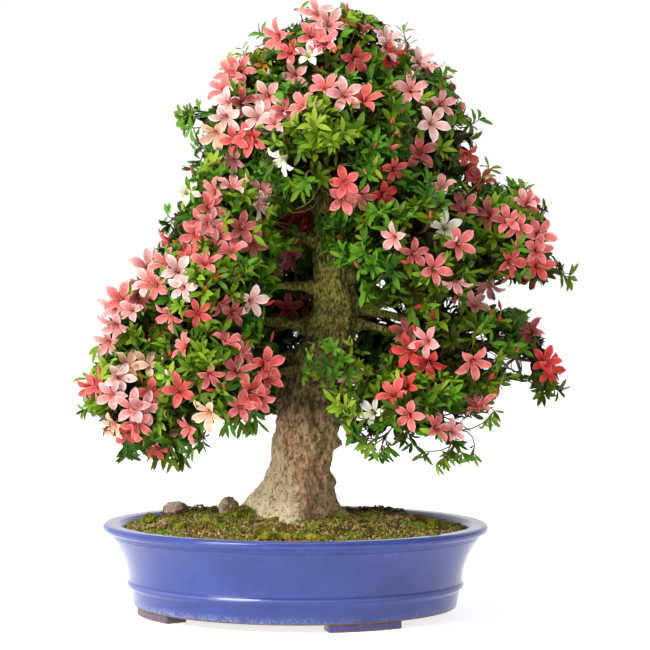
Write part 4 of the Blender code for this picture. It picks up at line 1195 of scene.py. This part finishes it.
for number, (name, centre, radii, _, _) in enumerate(MASSES):
    rng = np.random.default_rng(2611 + number)
    space = spaces[name]
    tip, ahead, limb_radius = bough_ends[name]
    start = tip - ahead * 2
    hub = space.centre + (tip - space.centre) * 0.15
    bend = tip + ahead * np.linalg.norm(hub - tip) * 0.35
    stem_radii = limb_radius * np.array([[1.1], [0.7]])
    add_twigs(start[None], bend[None], hub[None], *stem_radii)
    size = float(np.cbrt(np.prod(space.radii))) / 70
    turn = rng.uniform(0, 6)

    shoots = even_directions(max(FEWEST_SHOOTS, round(SHOOTS * size**2)), turn)
    shoots = shoots[space.reach(shoots) > space.full(shoots) * 0.45]
    shoots = shoots[inside_outline(space.at(shoots, 0.5)) > 8]
    ends = space.at(shoots, rng.uniform(0.42, 0.55, len(shoots)))
    middles = (hub + ends) / 2 + rng.normal(0, 4, ends.shape) + (0, 0, 4)
    from_stem = bend + (hub - bend) * rng.uniform(0.35, 1, len(ends))[:, None]
    shoot_paths = add_twigs(from_stem, middles, ends, np.full(len(ends), 2.0), np.full(len(ends), 1.3))

    forks = even_directions(max(FEWEST_FORKS, round(FORKS * size**2)), turn + 1)
    forks = unit(forks + rng.normal(0, 0.08, forks.shape))
    forks = forks[space.reach(forks) > space.full(forks) * 0.5]
    forks = forks[inside_outline(space.at(forks, 0.72)) > 2]
    parents = shoot_paths[(forks @ shoots.T).argmax(axis=1)]
    part = rng.uniform(0.35, 1.0, len(forks))
    ends = space.at(forks, rng.uniform(0.66, 0.80, len(forks)))
    starts, middles = forked(parents, part, ends, 0.4, 0.15, 2.5)
    fork_paths = add_twigs(starts, middles, ends, 1.3 - 0.2 * part, np.full(len(ends), 0.75))

    around = 4 * math.pi * (np.prod(space.radii) ** (2 / 3))
    fine = even_directions(round(around / TWIG_AREA * TWIGS_PER_AREA), turn + 2)
    fine = unit(fine + rng.normal(0, 0.06, fine.shape))
    layer = rng.choice(3, len(fine), p=LAYER_SHARES)
    share = LAYER_LOW[layer] + (LAYER_HIGH - LAYER_LOW)[layer] * rng.random(len(fine))
    open_side = space.reach(fine) / space.full(fine)
    keep = (open_side > OPEN_SIDE) | (rng.random(len(fine)) < SHUT_SIDE_SHARE)
    fine, share = fine[keep], share[keep]
    # Hollows between the sprays, so that the room's surface isn't even.
    dips = [noise.noise(Vector(way * size * 2.6 + number)) for way in fine]
    share *= 1 - np.clip(np.array(dips) * 1.9 - 0.08, 0, 0.42)
    ends = space.at(fine, share)
    keep = inside_outline(ends) > rng.uniform(4, 14, len(ends))
    keep &= ~in_an_opening(ends, SKY_OPENINGS)
    keep &= ~in_an_opening(ends, TRUNK_OPENINGS, TRUNK_DISTANCE)
    keep &= limb_gap(ends) > CLEAR_OF_LIMBS
    keep &= rng.random(len(ends)) < GROWN_SHARE.get(name, 1)
    fine, share, ends = fine[keep], share[keep], ends[keep]
    # The blossoms, buds, dry sprays and sprigs that the picture shows get twigs of their own.
    own = [row[1] for row in (*blossom_rows, *bud_rows, *husk_spots) if row[0] == name]
    for column, row, nearer in (*SPRIGS.get(name, ()), *HANGING_SPRIGS.get(name, ())):
        own.append(at_depth(sight_line(column, row), space.centre[1] - nearer))
    if own:
        spots = np.array(own)
        fine = np.concatenate([fine, unit(spots - space.centre)])
        ends = np.concatenate([ends, spots])
        share = np.concatenate([share, np.full(len(own), 1.0)])
    is_own = np.arange(len(fine)) >= len(fine) - len(own)
    parents = fork_paths[(fine @ forks.T).argmax(axis=1)]
    part = np.clip((share - 0.3) / 0.6, 0.15, 1) * rng.uniform(0.75, 1, len(fine))
    starts, middles = forked(parents, part, ends, 0.45, 0.12, 1.6)
    paths = add_twigs(starts, middles, ends, np.where(is_own, 0.9, 0.72), np.where(is_own, 0.62, 0.45))
    tips["end"].append(ends)
    tips["path"].append(paths)
    tips["onward"].append(unit(paths[:, 3] - paths[:, 2]))
    tips["outward"].append(unit((ends - space.centre) / space.radii**2))
    tips["depth"].append(share)
    tips["mass"].append(np.where(is_own, -1 - number, number))
tips = {key: np.concatenate(rows) for key, rows in tips.items()}
mass_of = np.where(tips["mass"] < 0, -1 - tips["mass"], tips["mass"])
own_twig = tips["mass"] < 0

# Twigs: thin wands, three sided, brown where they are old and green at the leafy ends. Each starts
# inside the one it grew from.
CROWN_PARTS = {
    "top": ("apex", "shoulder_left", "shoulder_right", "crown_front", "crown_back"),
    "left": ("left_mid", "left_upper", "left_low", "left_tip", "left_front"),
    "right": ("right_mid", "right_tip", "right_low", "right_end", "right_droop", "front_sprig"),
    "back": ("back_left", "back_right", "back_mid"),
}
mass_names = [row[0] for row in MASSES]
part_of_mass = np.zeros(len(MASSES), int)
for number, members in enumerate(CROWN_PARTS.values()):
    part_of_mass[[mass_names.index(member) for member in members]] = number


def tubes(paths, radii, sides=3):
    """Thin tubes along many paths: their points and triangles."""
    count, rings = radii.shape
    onward = unit(np.gradient(paths, axis=1))
    side = unit(np.cross(onward, (0.13, 0.27, 1.0)))
    up = np.cross(side, onward)
    angles = np.arange(sides) * math.tau / sides
    around = side[:, :, None] * np.cos(angles)[:, None] + up[:, :, None] * np.sin(angles)[:, None]
    points = paths[:, :, None] + around * radii[:, :, None, None]
    faces = []
    for ring in range(rings - 1):
        for k in range(sides):
            low, next_low = ring * sides + k, ring * sides + (k + 1) % sides
            faces.append((low, next_low, next_low + sides))
            faces.append((low, next_low + sides, low + sides))
    last = (rings - 1) * sides
    faces += [(last, last + k, last + k + 1) for k in range(1, sides - 1)]
    faces = np.array(faces)
    triangles = faces[None] + np.arange(count)[:, None, None] * rings * sides
    return points.reshape(-1, 3), triangles.reshape(-1, 3)


old_twig = plain("old_twig", (0.13, 0.075, 0.035), 0.85)
young_twig = plain("young_twig", (0.20, 0.17, 0.045), 0.8)
paths, radii = np.concatenate(twig_paths), np.concatenate(twig_radii)
YOUNG_RADIUS = 0.5
is_young = radii[:, -1] < YOUNG_RADIUS
for name, wood_finish, rows in (("twigs_old", old_twig, ~is_young), ("twigs_young", young_twig, is_young)):
    points, triangles = tubes(paths[rows], radii[rows])
    twigs = mesh_of(name, points, triangles, np.zeros(len(triangles)), [wood_finish])

# Blossoms: open funnels of five pointed lobes that part above a narrow throat, with a few long
# stamens. Each stands on the end of its own twig. Their colours run from white to red.
TINTS = {
    # lobe, its paler edge, and the throat; the part between lobe and throat takes their mean
    "white": ((0.80, 0.78, 0.68), (0.86, 0.85, 0.78), (0.60, 0.62, 0.30)),
    "blush": ((0.80, 0.49, 0.46), (0.84, 0.64, 0.60), (0.68, 0.33, 0.26)),
    "light": ((0.77, 0.32, 0.31), (0.82, 0.47, 0.45), (0.62, 0.19, 0.15)),
    "peach": ((0.78, 0.45, 0.30), (0.82, 0.58, 0.44), (0.64, 0.32, 0.17)),
    "pink": ((0.70, 0.165, 0.155), (0.77, 0.27, 0.25), (0.53, 0.085, 0.070)),
    "coral": ((0.66, 0.095, 0.085), (0.73, 0.17, 0.145), (0.47, 0.045, 0.036)),
    "red": ((0.61, 0.042, 0.038), (0.68, 0.08, 0.068), (0.41, 0.020, 0.017)),
    "dusty": ((0.42, 0.085, 0.080), (0.50, 0.15, 0.135), (0.27, 0.040, 0.034)),
}
tint_names = list(TINTS)
petal_finishes = []
for tint, (lobe, edge, throat) in TINTS.items():
    inner = tuple((a + b) / 2 for a, b in zip(lobe, throat))
    for part, colour in (("lobe", lobe), ("edge", edge), ("throat", throat), ("inner", inner)):
        petal_finishes.append(plain(f"{tint}_{part}", colour, 0.6))
petal_finishes.append(plain("stamen", (0.80, 0.42, 0.36), 0.6))
petal_finishes.append(plain("anther", (0.40, 0.20, 0.16), 0.7))
petal_finishes.append(plain("calyx", (0.11, 0.19, 0.03), 0.75))
LOBE_ROWS = (
    # distance from the middle, height and half width, from the tube to the point
    (0.9, -13.5, 0.65), (1.5, -9.5, 1.1), (2.6, -6.2, 1.9), (4.6, -3.2, 3.1), (8.0, -0.2, 4.8),
    (11.8, 2.0, 5.5), (15.4, 2.9, 5.0), (18.4, 2.6, 3.6), (20.6, 1.8, 1.9), (22.2, 0.9, 0.4),
)
LOBE_COLUMNS = (-1, -0.68, -0.22, 0.22, 0.68, 1)
# Slots: four to a tint, and after all tints the three that every blossom shares.
LOBE, EDGE, THROAT, INNER = range(4)
STAMEN, ANTHER, CALYX = range(4 * len(TINTS), 4 * len(TINTS) + 3)
NARROW = 4.6
LOBES, STAMENS = 5, 6
ANTHER_POINTS = np.array([(0, 0, 0.9), (0.6, 0, -0.3), (-0.3, 0.55, -0.3), (-0.3, -0.55, -0.3)])
ANTHER_FACES = np.array([(0, 1, 2), (0, 2, 3), (0, 3, 1), (1, 3, 2)])


def blossom_shape(seed):
    """One open blossom that looks up: points in millimetres, triangles and their slots."""
    draw = np.random.default_rng(seed)
    points, faces, slots = [], [], []
    columns = len(LOBE_COLUMNS)
    for lobe in range(LOBES):
        angle = math.tau * lobe / LOBES
        long, wide = draw.normal(1, 0.05), draw.normal(1, 0.07)
        rise, curl = draw.normal(0.04, 0.16), draw.normal(0, 0.9)
        first = len(points)
        for k, (far, height, half) in enumerate(LOBE_ROWS):
            free = max(0.0, (far - NARROW) / 16)
            for column in LOBE_COLUMNS:
                along = far * (1 + (long - 1) * min(free * 3, 1))
                across = half * column * (1 + (wide - 1) * min(free * 3, 1))
                wave = math.sin(far * 0.8 + lobe * 2.1 + column * 3) * 0.9 * free
                fold = (1 - column * column) * -1.5 * min(free * 4, 1)
                z = height + (far - NARROW) * rise * (free > 0) + wave + fold + curl * column * free
                x = along * math.cos(angle) - across * math.sin(angle)
                y = along * math.sin(angle) + across * math.cos(angle)
                points.append((x, y, z))
            if not k:
                continue
            for j in range(columns - 1):
                low = first + (k - 1) * columns + j
                quad = (low, low + 1, low + columns + 1, low + columns)
                faces += [(quad[0], quad[1], quad[2]), (quad[0], quad[2], quad[3])]
                rim = k > 4 and j in (0, columns - 2) or k >= 8
                inner = k <= 5 and j in (1, 2, 3)
                slots += [THROAT if k <= 3 else EDGE if rim else INNER if inner else LOBE] * 2
    for k in range(STAMENS):
        angle = math.tau * k / STAMENS + draw.normal(0, 0.3)
        spread = draw.uniform(2, 5)
        end = np.array((spread * math.cos(angle), spread * math.sin(angle), draw.uniform(5, 9)))
        path = bowed(np.array((0, 0, -10.0)), np.array((0, 0, 2.0)), end, (0, 0.5, 0.8, 1))[None]
        more, triangles = tubes(path, np.array([[0.28, 0.26, 0.24, 0.2]]))
        faces += (triangles + len(points)).tolist()
        slots += [STAMEN] * len(triangles)
        points += more.tolist()
        anther = ANTHER_POINTS + end
        faces += (ANTHER_FACES + len(points)).tolist()
        slots += [ANTHER] * len(ANTHER_FACES)
        points += anther.tolist()
    for k in range(LOBES):
        angle = math.tau * (k + 0.5) / LOBES
        side = np.array((-math.sin(angle), math.cos(angle), 0)) * 0.9
        out = np.array((math.cos(angle), math.sin(angle), 0))
        low, tip = out * 0.5 + (0, 0, -13.5), out * 2.4 + (0, 0, -9.5)
        faces.append((len(points), len(points) + 1, len(points) + 2))
        slots.append(CALYX)
        points += [(low - side).tolist(), (low + side).tolist(), tip.tolist()]
    return np.array(points, float), np.array(faces), np.array(slots)


rng = np.random.default_rng(5)
# How far a blossom's middle stands beyond its twig's end.
BLOSSOM_FACE = 12.5
blossom_spot = np.array([row[1] for row in blossom_rows])
blossom_face = np.array([row[3] for row in blossom_rows])
blossom_tint = np.array([tint_names.index(row[2]) for row in blossom_rows])
blossom_mass = np.array([mass_names.index(row[0]) for row in blossom_rows])
blossom_size = rng.uniform(0.74, 0.97, len(blossom_rows))

# The same kinds grow on the sides, the back and the top, in loose groups of one colour.
TRUNK_FRONT = (320, 360, 400, 480)
tip_margin = inside_outline(tips["end"])
free = (tips["depth"] > 0.93) & ~own_twig & (tips["outward"][:, 1] > 0.10) & (tip_margin > 14)
free &= ~in_an_opening(tips["end"], (*SKY_OPENINGS, *TRUNK_OPENINGS, TRUNK_FRONT), margin=12)
free_tips = np.flatnonzero(free)
rng.shuffle(free_tips)
BLOSSOM_GAP, MOST_BLOSSOMS = 33, 270
chosen = []
taken = list(blossom_spot)
for k in free_tips:
    gap = np.linalg.norm(np.array(taken) - tips["end"][k], axis=1).min()
    if gap > BLOSSOM_GAP and len(chosen) < MOST_BLOSSOMS:
        chosen.append(k)
        taken.append(tips["end"][k])
chosen = np.array(chosen)


def patchy(spots, size, shift=(0, 0, 0)):
    """Noise over places, much the same within this many millimetres."""
    return np.array([noise.noise(Vector(spot / size) + Vector(shift)) for spot in spots])


SPRAY_TINTS = (1, 2, 4, 5, 4, 6, 4, 2, 5, 3, 4, 5)
group = patchy(tips["end"][chosen], 55) * 0.5 + 0.5
group = (group * len(SPRAY_TINTS) + rng.normal(0, 0.8, len(chosen))).astype(int) % len(SPRAY_TINTS)
blossom_spot = np.concatenate([blossom_spot, tips["end"][chosen]])
more_faces = unit(tips["outward"][chosen] + rng.normal(0, 0.28, (len(chosen), 3)) + (0, 0, 0.15))
blossom_face = np.concatenate([blossom_face, more_faces])
blossom_tint = np.concatenate([blossom_tint, np.array(SPRAY_TINTS)[group]])
blossom_mass = np.concatenate([blossom_mass, mass_of[chosen]])
blossom_size = np.concatenate([blossom_size, rng.uniform(0.74, 0.94, len(chosen))])


def tinted(tints, kinds):
    """The slots of copies of one shape, each copy in its own tint."""
    first = np.repeat(tints * 4, len(kinds))
    kinds = np.tile(kinds, len(tints))
    return np.where(kinds < 4, first + kinds, kinds)


def facing(directions, rolls):
    """Turns that carry straight up to each direction, after a roll round it."""
    side = unit(np.cross(directions, (0.31, 0.17, -0.94)))
    up = np.cross(directions, side)
    first = side * np.cos(rolls)[:, None] + up * np.sin(rolls)[:, None]
    return np.stack([first, np.cross(directions, first), directions], axis=2)


VARIANTS = 6
variants = [blossom_shape(seed) for seed in range(VARIANTS)]
variant_of = rng.integers(0, len(variants), len(blossom_spot))
rolls = rng.uniform(0, math.tau, len(blossom_spot))
turns = facing(blossom_face, rolls)
for number, part in enumerate(CROWN_PARTS):
    all_points, all_triangles, all_slots, total = [], [], [], 0
    for variant, (shape, faces, shape_slots) in enumerate(variants):
        rows = np.flatnonzero((variant_of == variant) & (part_of_mass[blossom_mass] == number))
        if not len(rows):
            continue
        sizes = np.repeat(blossom_size[rows, None], 3, axis=1)
        spots = blossom_spot[rows] + blossom_face[rows] * BLOSSOM_FACE * blossom_size[rows, None]
        points, triangles = copies(shape, faces, spots, turns[rows], sizes)
        all_slots.append(tinted(blossom_tint[rows], shape_slots))
        all_points.append(points)
        all_triangles.append(triangles + total)
        total += len(points)
    blossoms = mesh_of(
        f"blossoms_{part}",
        np.concatenate(all_points),
        np.concatenate(all_triangles),
        np.concatenate(all_slots),
        petal_finishes,
    )

# Buds: slim spindles of furled lobes over a small green calyx, on twigs of their own.
rng = np.random.default_rng(31)
# Rings of the spindle: how far up, and half width, as shares of its own.
BUD_RINGS = ((0.0, 0.16), (0.14, 0.55), (0.38, 1.0), (0.66, 0.84), (0.88, 0.36), (1.0, 0.05))
BUD_SIDES = 5
bud = []
for k, (far, wide) in enumerate(BUD_RINGS):
    for j in range(BUD_SIDES):
        angle = math.tau * (j + 0.22 * k) / BUD_SIDES
        bud.append((wide * math.cos(angle), wide * math.sin(angle), far))
bud = np.array(bud)
bud_faces, bud_kinds = [], []
for k in range(len(BUD_RINGS) - 1):
    for j in range(BUD_SIDES):
        low, next_low = k * BUD_SIDES + j, k * BUD_SIDES + (j + 1) % BUD_SIDES
        bud_faces += [(low, next_low, next_low + BUD_SIDES), (low, next_low + BUD_SIDES, low + BUD_SIDES)]
        bud_kinds += [CALYX if k == 0 else EDGE if j % 2 else LOBE] * 2
bud_faces, bud_kinds = np.array(bud_faces), np.array(bud_kinds)
bud_spot = np.array([row[1] for row in bud_rows])
bud_face = np.array([row[3] for row in bud_rows])
bud_tint = np.array([tint_names.index(row[2]) for row in bud_rows])
spare = np.flatnonzero((tips["depth"] > 0.9) & ~own_twig & (rng.random(len(own_twig)) < 0.05))
BUD_GAP = 14
clear = [np.linalg.norm(blossom_spot - tips["end"][k], axis=1).min() > BUD_GAP for k in spare]
spare = spare[np.array(clear)]
bud_spot = np.concatenate([bud_spot, tips["end"][spare]])
spare_faces = unit(tips["outward"][spare] * 0.6 + (0, 0, 0.5) + rng.normal(0, 0.25, (len(spare), 3)))
bud_face = np.concatenate([bud_face, spare_faces])
bud_tint = np.concatenate([bud_tint, rng.choice((3, 4, 5, 5, 6, 6), len(spare))])
count = len(bud_spot)
bud_long, bud_wide = rng.uniform(9, 16, count), rng.uniform(1.7, 2.7, count)
sizes = np.stack([bud_wide, bud_wide, bud_long], axis=1)
points, triangles = copies(bud, bud_faces, bud_spot, facing(bud_face, rng.uniform(0, 6, count)), sizes)
buds = mesh_of("buds", points, triangles, tinted(bud_tint, bud_kinds), petal_finishes)

# Leaves: small, lance shaped and folded along the midrib, five to eight in a whorl at each twig's
# end and a few below it. Outer and upper sprays are painted lighter green, as painted light, and
# inner and lower ones darker, as painted shade.
rng = np.random.default_rng(77)
# Rows of a leaf one millimetre long: how far along, half width, and how high the midrib stands.
LEAF_ROWS = ((0.26, 0.31, 0.060), (0.56, 0.50, 0.055), (0.82, 0.33, 0.0))
LEAF_FOLD = 0.05
leaf = [(0, 0, 0)]
for far, half, height in LEAF_ROWS:
    leaf += [(far, -half, height + LEAF_FOLD), (far, 0, height), (far, half, height + LEAF_FOLD)]
leaf = np.array([*leaf, (1, 0, -0.09)])
leaf_faces = [(0, 1, 2), (0, 2, 3)]
for low in (1, 4):
    leaf_faces += [(low, low + 3, low + 4), (low, low + 4, low + 1)]
    leaf_faces += [(low + 1, low + 4, low + 5), (low + 1, low + 5, low + 2)]
leaf_faces = np.array([*leaf_faces, (7, 10, 8), (8, 10, 9)])
# The first seven run from the darkest to the lightest green, and the three cool ones likewise for a bluer
# green. Tone deals them out, so they carry painted shade and light besides the leaves' own differences.
LEAF_COLOURS = (
    ("leaf_deep", (0.024, 0.019, 0.002)),
    ("leaf_dark", (0.036, 0.042, 0.002)),
    ("leaf_mid", (0.052, 0.091, 0.002)),
    ("leaf_green", (0.083, 0.146, 0.003)),
    ("leaf_bright", (0.130, 0.214, 0.004)),
    ("leaf_fresh_and_lit", (0.160, 0.282, 0.010)),
    ("leaf_young_and_lit", (0.245, 0.350, 0.026)),
    ("leaf_dry", (0.380, 0.125, 0.018)),
    ("leaf_cool_dark", (0.026, 0.080, 0.004)),
    ("leaf_cool_green", (0.043, 0.132, 0.005)),
    ("leaf_cool_bright", (0.082, 0.222, 0.010)),
)
# The slot that each of the first eight has in the cooler sprays.
COOLER = np.array((0, 8, 8, 9, 10, 10, 6, 7))
LIGHTEST_LEAF, DRY = 6, 7
leaf_finishes = [plain(name, colour, 0.38, Specular_IOR_Level=0.12) for name, colour in LEAF_COLOURS]
count = len(tips["end"])
axis = unit(tips["onward"] * 0.6 + tips["outward"] * 0.45 + (0, 0, 0.2) + rng.normal(0, 0.12, (count, 3)))
tip_column, tip_row, _ = in_picture(tips["end"])


def own_near(spots, reach):
    """Which of the twigs placed by the picture end at one of these columns and rows."""
    found = np.zeros(count, bool)
    for column, row, *_ in spots:
        found |= own_twig & (np.hypot(tip_column - column, tip_row - row) < reach)
    return found


def is_at(sprigs):
    return np.any([own_near(spots, 1.5) for spots in sprigs.values()], axis=0)


def of_masses(*names):
    return np.isin(mass_of, [mass_names.index(name) for name in names])


# Leaves to a whorl, and lengths in millimetres: middle, spread, shortest and longest.
WHORL, OWN_WHORL, HANGING_WHORL, FAN_WHORL, BELOW = (5, 9), 6, 4, 3, (2, 5)
WHORL_LENGTHS, LOWER_LENGTHS, FAN_LENGTHS = (17.4, 2.8, 10, 24), (14.8, 2.5, 9, 20), (19, 24)
hanging, on_sprig = is_at(HANGING_SPRIGS), of_masses("front_sprig")
in_fan = hanging & of_masses("left_front", "left_tip")
in_whorl = rng.integers(*WHORL, count)
in_whorl[own_twig] = OWN_WHORL
in_whorl[hanging] = HANGING_WHORL
in_whorl[in_fan] = FAN_WHORL


def lengths(number, middle, spread, shortest, longest):
    return np.clip(rng.normal(middle, spread, number), shortest, longest)


owner = np.repeat(np.arange(count), in_whorl)
place_in_whorl = np.arange(len(owner)) - np.repeat(np.cumsum(in_whorl) - in_whorl, in_whorl)
roll = math.tau * place_in_whorl / in_whorl[owner] + rng.normal(0, 0.25, len(owner)) + owner
lean = np.radians(rng.uniform(30, 82, len(owner)))
long = lengths(len(owner), *WHORL_LENGTHS)
lower = np.repeat(np.arange(count), rng.integers(*BELOW, count))
share = rng.uniform(0.45, 0.95, len(lower))
base = np.concatenate([tips["end"][owner], on_paths(tips["path"][lower], share)])
roll = np.concatenate([roll, rng.uniform(0, math.tau, len(lower))])
lean = np.concatenate([lean, np.radians(rng.uniform(45, 85, len(lower)))])
long = np.concatenate([long, lengths(len(lower), *LOWER_LENGTHS)])
owner = np.concatenate([owner, lower])

# The front sprig's leaves are smaller and face the viewer. Hanging ones point down.
long = np.where(on_sprig[owner], long * 0.8, long)
to_viewer = unit(EYE - tips["end"] + rng.normal(0, 900, (count, 3)))
axis = np.where(on_sprig[:, None], unit(axis * 0.4 + to_viewer), axis)
axis[hanging] = unit(axis[hanging] * 0.35 + (0, 0, -1))
lean *= np.select([in_fan, hanging], [0.45, 0.85], 1)[owner]
long = np.where(in_fan[owner], rng.uniform(*FAN_LENGTHS, len(owner)), long)
# How far a twig's leaves may pass the crown's outline, in pixels.
passes_outline = np.select([hanging, is_at(SPRIGS)], [40, 14], 12 * rng.random(count) ** 3 - 4)

leaf_axis = axis[owner]
side = unit(np.cross(leaf_axis, (0.2, 0.3, -0.93)))
up = np.cross(leaf_axis, side)
radial = side * np.cos(roll)[:, None] + up * np.sin(roll)[:, None]
along = leaf_axis * np.cos(lean)[:, None] + radial * np.sin(lean)[:, None]
normal = leaf_axis * np.sin(lean)[:, None] - radial * np.cos(lean)[:, None]
# At the crown's edge they twist towards the light in front.
EDGE_MARGIN = 16
edge_tip = own_twig | (tip_margin < EDGE_MARGIN)
twist = np.select([hanging, edge_tip], [2.4, 0.9], 0.15)[owner]
normal = unit(normal + twist[:, None] * unit(EYE - base))
normal = unit(normal - along * (normal * along).sum(axis=1)[:, None])
across = np.cross(normal, along)
leaf_tip = base + along * long[:, None]
middle = base + along * long[:, None] * 0.55

# Leaves that would cut into a limb, cross the outline, close an opening or hide a blossom that
# the picture shows haven't grown.
LEAF_OFF_LIMB = 1.5
keep = inside_outline(leaf_tip) > -passes_outline[owner] * rng.uniform(0.6, 1, len(owner))
keep &= limb_gap(middle) > LEAF_OFF_LIMB
for spots in (leaf_tip, middle):
    keep &= ~in_an_opening(spots, SKY_OPENINGS) | hanging[owner]
    keep &= ~in_an_opening(spots, TRUNK_OPENINGS, TRUNK_DISTANCE)
column, row, distance = in_picture(middle)
face_spot = blossom_spot + blossom_face * BLOSSOM_FACE * blossom_size[:, None]
face_column, face_row, face_distance = in_picture(face_spot)
LEAF_FREE, LOBE_REACH = 10.5, 16
for k in range(len(blossom_rows)):
    near = np.hypot(column - face_column[k], row - face_row[k]) < LEAF_FREE * blossom_size[k]
    keep &= ~(near & (distance < face_distance[k] + 6))
for k in range(len(blossom_spot)):
    away = middle - face_spot[k]
    above = away @ blossom_face[k]
    beside = np.sqrt(np.maximum((away * away).sum(axis=1) - above * above, 0))
    keep &= (beside > LOBE_REACH * blossom_size[k]) | (above < -4) | (above > 9)
owner, base, long = owner[keep], base[keep], long[keep]
turns = np.stack([along[keep], across[keep], normal[keep]], axis=2)

# Tone: higher is lighter. Depth and side give painted shade and light, darker deep inside the crown
# and lighter on top and in front; groups of sprays, twig and leaf give the leaves' own differences.
OUTER_DEPTH, MIDDLE_TONE = 0.88, 3.08
tone = (tips["depth"] - OUTER_DEPTH) * 8.0 + tips["outward"][:, 2] * 0.9 - tips["outward"][:, 1] * 0.3
tone += patchy(tips["end"], 48) * 2.0
# Painted light: the leaves at the crown's edge, and a little those of the front sprig, are lighter.
tone += rng.normal(0, 0.85, count) + edge_tip * 0.55 + on_sprig * 0.1
# Painted shade on the top masses, and painted light on the front and middle masses.
tone -= (part_of_mass[mass_of] == 0) * 0.5
tone += of_masses("crown_front", "left_mid", "right_mid") * 0.4
leaf_tone = tone[owner] + rng.normal(0, 0.4, len(owner)) + MIDDLE_TONE
leaf_slot = np.clip(np.floor(leaf_tone), 0, LIGHTEST_LEAF).astype(int)
cool = patchy(tips["end"], 55, (9, 4, 7)) * 1.6 + rng.normal(0, 0.4, count) > -0.04
leaf_slot = np.where(cool[owner], COOLER[leaf_slot], leaf_slot)
dry = (rng.random(count) < 0.006) & ~own_twig | own_near(SEEN_HUSKS, 2.5)
leaf_slot[(rng.random(len(owner)) < 0.004) | dry[owner]] = DRY
long = np.where(dry[owner], long * 0.6, long)
wide = long * rng.uniform(0.25, 0.35, len(long)) * np.select([in_fan, hanging], [0.7, 0.8], 1)[owner]
sizes = np.stack([long, wide, long * rng.uniform(0.2, 1.2, len(long))], axis=1)
leaf_part = part_of_mass[mass_of[owner]]
for number, (part, members) in enumerate(CROWN_PARTS.items()):
    rows = np.flatnonzero(leaf_part == number)
    half_count = len(rows) // 2
    for half, chunk in (("inner", rows[:half_count]), ("outer", rows[half_count:])):
        points, triangles = copies(leaf, leaf_faces, base[chunk], turns[chunk], sizes[chunk])
        slots = np.repeat(leaf_slot[chunk], len(leaf_faces))
        leaves = mesh_of(f"leaves_{part}_{half}", points, triangles, slots, leaf_finishes)
        if half == "outer":
            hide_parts(*[f"mass_{member}" for member in members])
